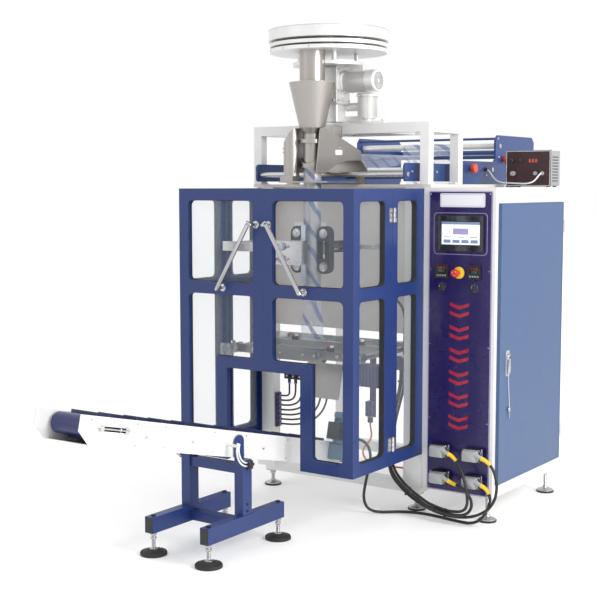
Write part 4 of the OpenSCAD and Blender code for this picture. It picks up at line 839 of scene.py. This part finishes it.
for s, side in ((1, "right"), (-1, "left")):
    door = side + "_door"
    bar = Shape()
    low, high = Vector((s * 250, -44, 1188)), Vector((s * 58, -44, 1508))
    along = (low - high).normalized()
    points = [high + along * reach for reach in (-9, -6, 0, 14, 16)]
    points += [low + along * reach for reach in (-16, -14, 0, 6, 9)]
    bar.sweep(points, [6, 9.5, 11, 11, 11, 11, 11, 11, 9.5, 6], 26)
    for x, z in ((37, 1510), (246, 1192)):
        bar.turned((s * x, 0, z), -Y, foot_profile, 32)
        bar.screw((s * x, -52, z), -Y, 4.5, 3)
    bar.sweep([(s * 37, -44, 1510), high], 8, 18)
    bar.nut(high - along * 20 - 2 * Y, along, 12.5, 9)
    node = "door_handle_" + side
    bar.done("handle_bar_" + side, "handle_chrome", body=door, node=node)

    gasket, still = Shape(), Shape()
    sides = (*span(s, 58.3, 469.7), 1217.3, 1626.7)
    gasket.border("xz", sides, 28, GASKET, *PANE_Y, r_in=26)
    rings = []
    for i in (0, GASKET):
        x0, x1, x2 = s * (58.3 + i), s * (292.3 + i), s * (469.7 - i)
        ring = [(x0, 845.3 + i), (x0, 1156.7 - i), (x2, 1156.7 - i)]
        rings.append(ring + [(x2, 381.3 + i), (x1, 381.3 + i), (x1, 845.3 + i)])
    gasket.hoop("xz", *rings, *PANE_Y)
    for z0, z1 in PANE_ROWS:
        for shape, y0, y1 in ((gasket, 53.3, 281.7), (still, 400.3, 589.7)):
            sides = (y0, y1, z0 + 0.3, z1 - 0.3)
            shape.border("yz", sides, 28, GASKET, *span(s, 498.5, 525.8), r_in=26)
    gasket.done("gaskets_" + side, "rubber", body=door, slot="belt_black")
    still.done("side_gaskets_" + side, "rubber", slot="belt_black")

    moving, fixed = Shape(), Shape()
    x, y = s * DOOR_PIN[0], DOOR_PIN[1]
    for z in (428, 1556):
        for shape, y0, y1 in ((moving, 316.6, 342.7), (fixed, 359.3, 385.4)):
            leaf = rounded(y0, y1, z - 34.5, z + 34.5, 4, 4)
            shape.prism("yz", leaf, *span(s, HALF_W + 0.6, HALF_W + 3.8))
            heads = grid(s * (HALF_W + 3.6), (y0 + y1) / 2, (z - 22, z, z + 22))
            shape.screw(heads, s * X, 4.2, 2.4)
        moving.pin(grid(x, y, (z - 34.1, z + 11.9)), Z, 7.4, 22.2)
        fixed.pin((x, y, z - 11.1), Z, 7.4, 22.2)
        knuckle = span(s, 528.7, 533)
        moving.box(*knuckle, 341, 349.4, z - 34, z - 12)
        moving.box(*knuckle, 341, 349.4, z + 12, z + 34)
        fixed.box(*knuckle, 352.6, 361, z - 11, z + 11)
        ends = grid(x, y, (z - 35.5, z + 34.5))
        fixed.turned(ends, Z, [(4, 0), (4.6, 0.5), (4.6, 3), (3, 4)], 18)
    moving.done("hinge_leaves_" + side, STEEL, 0.4, door)
    fixed.done("hinge_seats_" + side, STEEL, 0.4)

hinge, still = Shape(), Shape()
for z in (362, 1483):
    for dz in (-22.5, 22.5):
        hinge.pin((940, 1469, z + dz - 10), Z, 8.4, 20)
        hinge.box(931.6, 940, 1451.6, 1463, z + dz - 10, z + dz + 10)
    still.pin((940, 1469, z - 11), Z, 8.4, 22)
    still.prism("yz", rounded(1475.5, 1505.5, z - 35.5, z + 35.5, 4, 4), 928.4, 931.6)
    still.screw(grid(931.4, 1492, (z - 22, z, z + 22)), X, 4.2, 2.4)
hinge.done("cabinet_hinge_leaves", STEEL, 0.4, "side_door")
still.done("cabinet_hinge_seats", STEEL, 0.4)

GRIP_X, GRIP_Y, GRIP_Z = 928.5, 780, 845
grip = Shape()
boss = [(17, 0), (17, 6), (14, 10), (9, 11), (9, 13.2)]
grip.turned((GRIP_X + 17.3, GRIP_Y, GRIP_Z), X, boss, 32)
grip.turned((GRIP_X - 14, GRIP_Y, GRIP_Z), X, [(10, 0), (10, 31.5)], 28)
grip.box(GRIP_X - 14, GRIP_X - 9, 768, 792, 785, 857)
rings = []
lever = [(762, 9, 26.5), (766, 11.5, 29), (800, 12, 31), (832, 11, 31)]
for z, half, deep in lever + [(857, 10, 30), (862, 7, 27)]:
    sides = (GRIP_X + 19, GRIP_X + deep, GRIP_Y - half, GRIP_Y + half)
    rings.append(lift("xy", rounded(*sides, 2.6, 4), z))
grip.skin(rings)
grip.paint(1)
grip.turned((GRIP_X + 28, GRIP_Y, GRIP_Z), X, [(6.5, 0), (6.5, 3.6), (5.5, 4.2)], 24)
mats = "handle_chrome black_plastic"
grip.done("handle_grip", mats, 0.5, "lock_handle", node="cabinet_handle")
back = Shape()
back.prism("yz", rounded(758, 802, 750, 880, 12, 6), GRIP_X + 17.02, GRIP_X + 18.6)
back.screw(grid(GRIP_X + 18.4, 794, (764, 868)), X, 3.6, 2.0)
back.done("handle_plate", "connector_grey", 0.3, "side_door", "handle_chrome")

# --- the motors


def grille(shape, plane, centre, radii, width, lo, hi):
    """Ring slots of a fan cover."""
    for r in radii:
        shape.hoop(plane, spread(centre, r, 48), spread(centre, r - width, 48), lo, hi)


GEAR_Y = 820
FAN_X = 182
motor = Shape(CONVEYOR)
motor.prism("yz", rounded(774, 866, -24, 62, 9, 5), 132, 218)
motor.turned((127.9, GEAR_Y, 18), X, [(40, 0), (40, 4.5), (38, 5)], 48)
motor.turned((218, GEAR_Y, 18), X, [(33, 0), (33, 3), (30, 5), (13.5, 5)], 44)
motor.turned((FAN_X, GEAR_Y, 62), Z, [(45, 0), (51, 1), (51, 11), (49, 12.5)], 48)
motor.turned((FAN_X, GEAR_Y, 74), Z, [(53, 0), (53, 118)], 48)
beside_box = (8, 9, 10, 0, 35, 1)
motor.fins((FAN_X, GEAR_Y, 76), Z, 52, 57.6, 0, 114, 36, 2.4, skip=beside_box)
cowl = [(58, 0), (61, 1.5), (61, 24), (58, 28.5), (50, 30)]
motor.turned((FAN_X, GEAR_Y, 192), Z, cowl, 52)
motor.screw(lift("yz", spread((GEAR_Y, 18), 27, 6), 218.2), X, 4, 3.5)
motor.nut(grid(218, (GEAR_Y - 34, GEAR_Y + 34), (-12, 50)), X, 6, 4)
motor.nut(grid((FAN_X - 34, FAN_X + 34), (GEAR_Y - 31, GEAR_Y + 31), 74), Z, 6, 5)
motor.paint(1)
motor.prism("yz", rounded(808, 868, 75, 116, 4, 4), 225.5, 246)
motor.nut((246, 838, 95), X, 9, 5)
motor.turned((250, 838, 95), X, [(8.8, 0), (8.8, 4), (7.6, 6)], 24)
motor.prism("yz", rounded(724, 770, 80, 168, 5, 4), 140, 212)
motor.screw(grid(246, (814, 862), (80.5, 110.5)), X, 2.6, 1.6)
motor.paint(2)
grille(motor, "xy", (FAN_X, GEAR_Y), range(18, 51, 8), 2, 221.5, 223.4)
mats = "motor_grey black_plastic machined_steel"
motor.done("conveyor_gearmotor", mats, 0.6, "conveyor", node="conveyor_motor")

DRIVE_Y, DRIVE_Z = 650, 2236
drive = Shape()
drive.prism("xy", rounded(-100, 290, 665, 1035, 6, 3), 2020, 2032)
drive.prism("yz", rounded(570, 700, 2122, 2317, 12, 5), -60, 55)
drive.prism("xy", rounded(-45, 40, 600, 690, 10, 4), 2032, 2123)
drive.box(-60, 150, 665, 700, 2031, 2060)
housing = [(58, 0), (60, 2), (60, 15), (58, 17), (50, 17), (50, 150)]
drive.turned((55, DRIVE_Y, DRIVE_Z), X, housing, 56)
drive.fins((73, DRIVE_Y, DRIVE_Z), X, 49, 56, 0, 130, 40, 2.2)
cowl = [(55, 0), (57, 1.5), (57, 50), (52, 57), (44, 59)]
drive.turned((203, DRIVE_Y, DRIVE_Z), X, cowl, 52)
drive.box(96, 186, 622, 678, 2284, 2318)
drive.turned((165, 700, 2032), Z, [(30, 0), (30, 10), (44, 14), (46, 20)], 40)
drive.turned((165, 700, 2052), Z, [(46, 0), (46, 108)], 48)
drive.fins((165, 700, 2054), Z, 45, 52, 0, 104, 36, 2.2)
cowl = [(56, 0), (58, 1), (58, 12), (54, 18), (46, 19)]
drive.turned((165, 700, 2160), Z, cowl, 48)
drive.sweep([(40, 700, 2110), (120, 700, 2110)], 22, 30)
boss = [(26, 0), (27, 1), (27, 7), (20, 9), (12, 9), (11, 16)]
drive.turned((55, 635, 2165), X, boss, 36)
corners = grid(72, (DRIVE_Y - 48, DRIVE_Y + 48), (DRIVE_Z - 48, DRIVE_Z + 48))
drive.paint(1).screw(corners, X, 6, 6)
for y, z in product((586, 684), (2140, 2190, 2300)):
    drive.screw((-60, y, z), -X, 6, 5)
    drive.screw((55, y if y < DRIVE_Y else 692, z), X, 5, 5)
drive.screw(grid((-44, 38), 570, (2140, 2220, 2300)), -Y, 6, 5)
drive.turned((-2, 571, 2180), -Y, [(30, 0), (30, 4), (26, 7), (15, 7), (14, 2)], 44)
drive.nut(grid((-80, 270), (685, 1015), 2032), Z, 10, 8)
drive.paint(2)
grille(drive, "yz", (DRIVE_Y, DRIVE_Z), range(16, 44, 9), 3, 261.3, 262.6)
drive.box(104, 178, 630, 670, 2316, 2319)
mats = "cast_alloy machined_steel black_plastic"
drive.done("filler_drive_unit", mats, 1.0, node="filler_drive")

# --- film and reel

FILM_W = 320.0
MOUTH_Y, MOUTH_Z, MOUTH_R = 745 - 12, 1711, 160.2
BAR_Y, BAR_Z = 1635, 1874.0
WEB_COLUMNS = 28


def web_row(t, half_angle=radians(62)):
    """Section of the web at t from 0 at the mouth to 1 at the guide bar."""
    flat = 3 * t * t - 2 * t * t * t
    row = []
    for j in range(WEB_COLUMNS + 1):
        u = 2 * j / WEB_COLUMNS - 1
        a = half_angle * u
        x = (1 - flat) * MOUTH_R * sin(a) + flat * u * FILM_W / 2
        z = (1 - flat) * (MOUTH_Z + MOUTH_R * cos(a)) + flat * BAR_Z
        z += 1.2 * sin(9 * u + 14 * t) * t * (1 - t)
        row.append((x, MOUTH_Y + (BAR_Y - MOUTH_Y) * t, z))
    return row


ROLLER = (1655.0, 1925.0)
ROLLER_R = 18.9
REEL = (1840, 1240)
rows = [web_row(t / 30) for t in range(31)]
rise = [(1636.0, 1877.5), (1636.1, 1900.0)]
rise += spread(ROLLER, ROLLER_R, 24)[12::-1]
leave, land = Vector((1673.9, ROLLER[1])), Vector((1649.0, REEL[1]))
rise += [leave.lerp(land, k / 16) for k in range(1, 17)]
for y, z in rise:
    us = [2 * j / WEB_COLUMNS - 1 for j in range(WEB_COLUMNS + 1)]
    rows.append([(u * FILM_W / 2, y, z) for u in us])
web = Shape().skin(rows, caps=False, around=False)
web = web.done("film_sheet", "film", node="film_web", thin=True)

TUBE_R, BAG_HALF, FLAT_HALF = 45.75, 70.0, 1.3
levels = [*range(1784, 1084, -25), *range(1085, 984, -5), 960, 935, 915, 900, 893]
rings = []
for z in levels:
    t = min(1.0, max(0.0, (1085 - z) / 100))
    t = t * t * (3 - 2 * t)
    ring = []
    for k in range(50):
        a = pi / 2 + tau * k / 48
        fold = 0.9 * sin(5 * a + z / 60) * t * (1 - t) * 4
        lap = 0.7 * k / 49
        half = TUBE_R + (BAG_HALF - TUBE_R) * t + lap
        deep = TUBE_R + (FLAT_HALF - TUBE_R) * t + lap
        ring.append((half * cos(a), TUBE_Y + deep * sin(a) + fold, z))
    rings.append(ring)
tube = Shape().skin(rings, caps=False, around=False)
tube = tube.done("film_sleeve", "film", node="film_tube", thin=True)

seals = Shape()
for z in [z + 4 * k for z in (972, 897) for k in range(3)]:
    seals.box(-69, 69, TUBE_Y - 2.6, TUBE_Y - 1.2, z, z + 1.6)
seals.done("seal_lines", "reel_film", 0.2, slot="film")

reel = Shape()
roll = [(45, 0), (188, 0), (190, 1.2), (190, 314.8), (188, 316), (45, 316)]
reel.turned((-158, *REEL), X, roll, 96)
reel.paint(1)
cone = [(42, 0), (42, 17.5), (38, 18), (30, 28), (22, 40), (16, 41)]
for s in (-1, 1):
    reel.turned((s * 150, *REEL), s * X, cone, 44)
    reel.nut((s * 203, *REEL), s * X, 26, 14)
shaft = [(x, *REEL) for x in (-482, -478, 478, 482)]
reel.sweep(shaft, [13, 15, 15, 13], 36)
reel.done("film_roll", "reel_film machined_steel", 0.8, "reel", node="film_reel")

# --- printer's box

FACE_Y = 1381.4
case = Shape()
case.prism("xz", rounded(635, 897, 1695, 1889, 4, 4), FACE_Y, FACE_Y + 2.5)
case.paint(1)
case.border("xz", (637, 895, 1697, 1887), 4, 4, FACE_Y - 0.8, FACE_Y + 0.2, 4, 3)
for x, r in ((680, 13), (810, 11), (850, 11)):
    profile = [(r, 0), (r, 3), (r - 2, 4), (r - 4, 9.2)]
    case.turned((x, FACE_Y + 0.1, 1765), -Y, profile, 30)
case.turned((850, FACE_Y + 0.1, 1765), -Y, [(8, 4), (8, 7), (6.5, 9.4)], 6)
case.paint(2)
knob = [(13, 0), (12.5, 11), (9, 14), (3, 14.5)]
case.turned(grid((672, 722), FACE_Y, 1835), -Y, knob, 26)
for x in (672, 722):
    case.box(x - 1.2, x + 1.2, 1366.4, 1368, 1837, 1846)
case.prism("xz", rounded(762, 832, 1815, 1852, 3, 3), FACE_Y - 1.6, FACE_Y + 0.2)
case.prism("xz", rounded(852, 876, 1820, 1850, 2, 3), FACE_Y - 3.9, FACE_Y + 0.2)
case.paint(3)
for x in (772, 790, 808):
    case.box(x, x + 11, FACE_Y - 2.2, FACE_Y - 1.4, 1824, 1843)
mats = "maroon machined_steel black_plastic digit_red"
case.done("printer_face", mats, 0.5, slot="case_grey")
louvres = Shape()
for z in range(1722, 1851, 16):
    louvres.prism("yz", rounded(1415, 1495, z, z + 5, 2.4, 3), 892.02, 893.4)
louvres.done("printer_louvres", BLACK, 0.4, slot="case_grey")
socket = [(13, 0), (13, 4), (9, 5), (8.5, 14)]
Shape().turned((467.6, 1471, 1789), X, socket, 24).done("lead_socket", BLACK)

# --- paper, labels and bolts

paper = Shape().prism("xz", rounded(-318, -112, 1404, 1500, 3, 3), 724.3, 724.97)
paper.done("blank_sheet", "paper", slot="label_white")
wing = Matrix.Translation((62, 372, 1765)) @ Matrix.Rotation(radians(-7), 4, "Z")
tag = Shape(wing).prism("yz", rounded(150, 205, 92, 118, 3, 3), 3.02, 3.7)
tag.done("wing_label", "label_white")

BELT_Z = 18  # the drums' axes in the conveyor's own frame
bolts = Shape(CONVEYOR)
for s in (-1, 1):
    face = s * 128.1
    bolts.screw(grid(s * 133, (-640, -330, 200), 0), s * X, 7.4, 3)
    heads = grid(face, (-840, -700, -520, -180, 60, 400, 700), (-38, 50))
    bolts.screw(heads + [(face, -975, 50)], s * X, 4.4, 2.6)
    bolts.turned((face, -915, BELT_Z), s * X, [(15, 0), (15, 2.5), (12, 3.2)], 30)
    bolts.nut((face + s * 3, -915, BELT_Z), s * X, 12, 9)
    bolts.prism("yz", rounded(-770, -748, 2, 34, 2, 3), *span(s, 128.1, 133.1))
    rod = face + s * 6
    bolts.sweep([(rod, -905, BELT_Z), (rod, -752, BELT_Z)], 3.4, 12)
    bolts.nut((rod, -800, BELT_Z), -Y, 8, 8)
bolts.done("conveyor_bolts", STEEL, 0.2, "conveyor")

seam = Shape(CONVEYOR)
for y in (-300, 480):
    seam.box(-109.5, 109.5, y, y + 26, 62.8, 63.7)
seam.done("belt_joints", "belt_blue", 0.3, "conveyor")

TILT_Y, TILT_Z = -367, 422
stars, stand = Shape(), Shape()
for s in (-1, 1):
    hub = [(10, 0), (12, 2), (12, 14), (9, 16)]
    stars.turned((s * 199, TILT_Y, TILT_Z), s * X, hub, 28)
    lobes = lift("yz", spread((TILT_Y, TILT_Z), 14, 5), s * 200)
    stars.turned(lobes, s * X, [(6, 0), (7.5, 1.5), (7.5, 10), (6, 12)], 16)
    stand.screw(grid(s * 185, TILT_Y, (200, 232, 400, 424)), s * X, 6, 4)
    stand.nut(grid(s * 164, (-626, -99, TILT_Y), 183), Z, 11, 7)
    for y0, y1 in ((-658.5, -657), (-81, -79.5)):
        stand.prism("xz", rounded(*span(s, 142, 186), 109, 181, 3, 3), y0, y1)
stars.done("tilt_knobs", BLACK, 0.4)
stand.done("stand_bolts", BLACK, 0.3)

# --- forming and sealing

screws = Shape()
screws.screw(grid((-66, 66), TUBE_Y + 20, 1935) + grid((-22, 22), 640, 1935), Z, 5, 4)
screws.screw(grid((-398, -362, 362, 398), 184, (828, 872)), -Y, 5, 4)
screws.screw(grid((-288, 288), 560, (1378, 1392)), -Y, 4, 3)
screws.screw(grid((-104, -20, 30), 250, (1312, 1408)), -Y, 4.5, 3.5)
lip = spread((0, TUBE_Y), 119.2, 72)
screws.sweep(lift("xy", lip + lip[:1], 2221), 1.9, 8)
screws.done("steel_bolts", STEEL, 0.2)

cylinders = Shape()
zs = (1328, 1392)
cap = [(22, 0), (22, 3), (20, 4), (20, 12), (17, 14)]
cylinders.turned(grid(-60, 250, zs), -Y, cap, 36)
cylinders.turned(grid((-90, -30), 250.2, zs), -Y, [(6.5, 0), (6.5, 10), (5, 12)], 6)
cylinders.paint(1)
cylinders.turned(grid((-90, -30), 238.5, zs), -Y, [(5.2, 0), (5.2, 5), (4, 6)], 16)
cylinders.done("sealer_fittings", "sealer_steel red_button", 0.3)

JAW_Z = 850
for body, y, s in (("jaw_front", 287, 1), ("jaw_rear", 577, -1)):
    inward = (0, -s, 0)
    bits = Shape()
    xs = (-140, -70, 70, 140)
    bits.screw(grid(xs, y - s * 44, JAW_Z), inward, 6, 5)
    collar = [(11, 0), (11, 3), (8, 5)]
    bits.turned(grid(xs, y - s * 14, JAW_Z), inward, collar, 6)
    seal = [(24, -1), (25.5, 0), (25.5, 2.5), (16.5, 3)]
    for d in (-1, 1):
        bits.turned(grid((-380, 380), y + d * 30.5, JAW_Z), d * Y, seal, 40)
        bits.box(d * 380 - 34, d * 380 - 22, y - 12, y + 12, 872, 884)
    bits.nut(grid((-260, 260), y - s * 14, JAW_Z), inward, 10, 8)
    for x in (-210, 210):
        bits.paint(1).box(x - 16, x + 16, y - 10, y + 10, 872, 892)
        bits.paint(2).box(x - 14, x - 2, y - 8, y + 8, 892, 902)
        bits.paint(3).box(x + 2, x + 14, y - 8, y + 8, 892, 902)
    mats = "machined_steel black_plastic red_button label_white"
    bits.done(body + "_fittings", mats, 0.6, body)

for side, s in (("left", -1), ("right", 1)):
    wheels = Shape()
    hub = [(24, 0), (24, 3), (20, 4.5), (8, 4.5), (8, 7)]
    wheels.turned(grid(s * 83.5, 410, (1285, 1455)), -Y, hub, 40)
    wheels.nut(grid(s * 83.5, 404.5, (1285, 1455)), -Y, 7, 5)
    for z in range(1300, 1445, 12):
        wheels.box(*span(s, 46.2, 46.9), 412, 452, z, z + 3)
    wheels.done("pull_wheels_" + side, STEEL, 0.3, "pull_" + side)

valves = Shape()
for k in range(HOSES):
    x = -322 + HOSE_STEP * k
    valves.paint(0).prism("xz", rounded(x, x + 34, 645, 692, 3, 3), 632, 640.4)
    valves.paint(1).box(x + 6, x + 28, 629.5, 632.4, 676, 688)
    valves.paint(2).turned((x + 17, 632.2, 658), -Y, [(6, 0), (6, 3), (4, 4)], 20)
    collar = [(8, 0), (9.8, 1), (9.8, 6), (8.8, 7)]
    valves.paint(3).turned((x + 12, HOSE_Y, 612.5), Z, collar, 24)
    collar = [(7.5, -3), (8.7, -2), (8.7, 4), (7.5, 5)]
    valves.turned((END_X - 0.4, END_Y, END_Z - END_STEP * k), -X, collar, 20)
mats = "black_plastic label_white handle_chrome screen_blue"
valves.done("valve_details", mats, 0.4, slot="valve_violet")

glands = Shape()
glands.nut([(402, 699, 740), (378, 699, 740), (390, 689, 740)], Z, 9.4, 5)
for base, axis, profile, n in (
    ((408, 680, 812), Z, [(13, -1), (13, 4), (9.4, 8), (8.4, 14)], 26),
    ((236, 724.9, 1173), -Y, [(16, 0), (16, 4), (13.6, 6), (13.6, 20), (8.5, 24)], 28),
    ((481, 700, 226), -X, [(13, 0), (13, 3), (11.6, 5), (11.6, 11), (6.5, 14)], 24),
    ((198, 690, 480), -Z, [(16, 0), (16, 4), (14, 6), (14, 34), (6.5, 37)], 24),
):
    glands.turned(base, axis, profile, n)
glands.done("hose_fittings", STEEL, 0.3)

PAN = (-20, 610)
rim = Shape()
for z in (2498.4, 2442.5):
    circle = spread(PAN, 310.4, 120)
    rim.sweep(lift("xy", circle + circle[:1], z), 1.6, 8)
for x, y in spread(PAN, 304.5, 12, 15):
    rim.screw((x, y, 2392), (x - PAN[0], y - PAN[1], 0), 5, 3)
rim.turned((*PAN, 2500), Z, [(22, -16), (22, -6), (12, -4), (12, -1.5)], 6)
rim.done("pan_rims", STEEL, slot="cast_alloy")

for name, p in (("knob_front", (1290, 1793)), ("knob_rear", (1700, 1850))):
    wheel = Shape()
    wheel.turned((470, *p), X, [(6, -26), (6, 4)], 24)
    wheel.pin((470, *p), X, 15, 12, 1, 32)
    wheel.turned((482, *p), X, [(20, 0), (23, 1), (23, 17), (20, 20), (8, 20)], 40)
    wheel.fins((482, *p), X, 21, 25, 1, 18, 20, 3.4)
    wheel.done(name + "_wheel", "knob_red", 0.4, name, node="adjust_" + name)

SIDE_PLATE = 468.05
bearings = ((600, 1757), (1560, 1790), (1655, 1925))
plate_screws = [(640, 1770), (900, 1770), (1130, 1760), (1625, 1966)]
plate_screws += [(1640, 1862), (2060, 1900), (1480, 1758), (1815, 1580)]
collars = Shape()
for s in (-1, 1):
    collars.nut(lift("yz", bearings, s * SIDE_PLATE), s * X, 14, 3.4)
    collars.screw(lift("yz", plate_screws, s * SIDE_PLATE), s * X, 7, 5)
collars.done("film_unit_bolts", STEEL, 0.3)

bases = Shape()
for x in (-525, 525):
    for y0, bolt_y in ((663, 726), (963, 974)):
        bases.prism("xy", rounded(x - 26, x + 26, y0, y0 + 74, 5, 4), 1706.05, 1711)
        bases.nut(grid((x - 15, x + 15), bolt_y, 1711), Z, 7, 6)
bases.done("filler_stand_plates", "white_paint", 0.6)

lip = Shape()
lip.border("yz", (690.5, 1456.5, 210.5, 1612.5), 3, 7.5, 945.4, 946.1, 3)
lip.done("side_door_lip", "cabinet_blue", 0.2, "side_door")

# --- floor and light

FLOOR_HALF = 60.0
floor = bpy.data.objects.new("floor", bpy.data.meshes.new("floor"))
bpy.context.scene.collection.objects.link(floor)
corners = ((-1, -1), (1, -1), (1, 1), (-1, 1))
bm = bmesh.new()
bm.faces.new([bm.verts.new((a * FLOOR_HALF, b * FLOOR_HALF, 0)) for a, b in corners])
bm.to_mesh(floor.data)
bm.free()
floor.data.shade_smooth()
white = (0.86, 0.86, 0.86)
surface("floor_white", white, 0.65, vary=0.01, bump=0.02, edge=0, glow=0.17)
floor.data.materials.append(MAT["floor_white"])

world = bpy.data.worlds.new("studio")
bpy.context.scene.world = world
world.use_nodes = True
background = world.node_tree.nodes["Background"]
background.inputs["Color"].default_value = (1, 1, 1, 1)
background.inputs["Strength"].default_value = 1.0

MACHINE_MIDDLE = Vector((0.1, 0, 1.1))


def soft_light(name, place, size, watts, color=(1, 1, 1)):
    """Square area light that faces the machine's middle."""
    lamp = bpy.data.lights.new(name, "AREA")
    lamp.size = size
    lamp.energy = watts
    lamp.color = color
    holder = bpy.data.objects.new(name, lamp)
    bpy.context.scene.collection.objects.link(holder)
    holder.location = place
    towards = MACHINE_MIDDLE - Vector(place)
    holder.rotation_euler = towards.to_track_quat("-Z", "Y").to_euler()


soft_light("key", (5.5, -0.6, 3.4), 2.4, 250, (1, 0.99, 0.97))
soft_light("fill", (-3.6, -5.2, 2.8), 3.0, 10, (0.97, 0.985, 1))
soft_light("top", (0.2, 0.2, 6.0), 3.6, 40)

bpy.context.scene.view_settings.view_transform = "Standard"
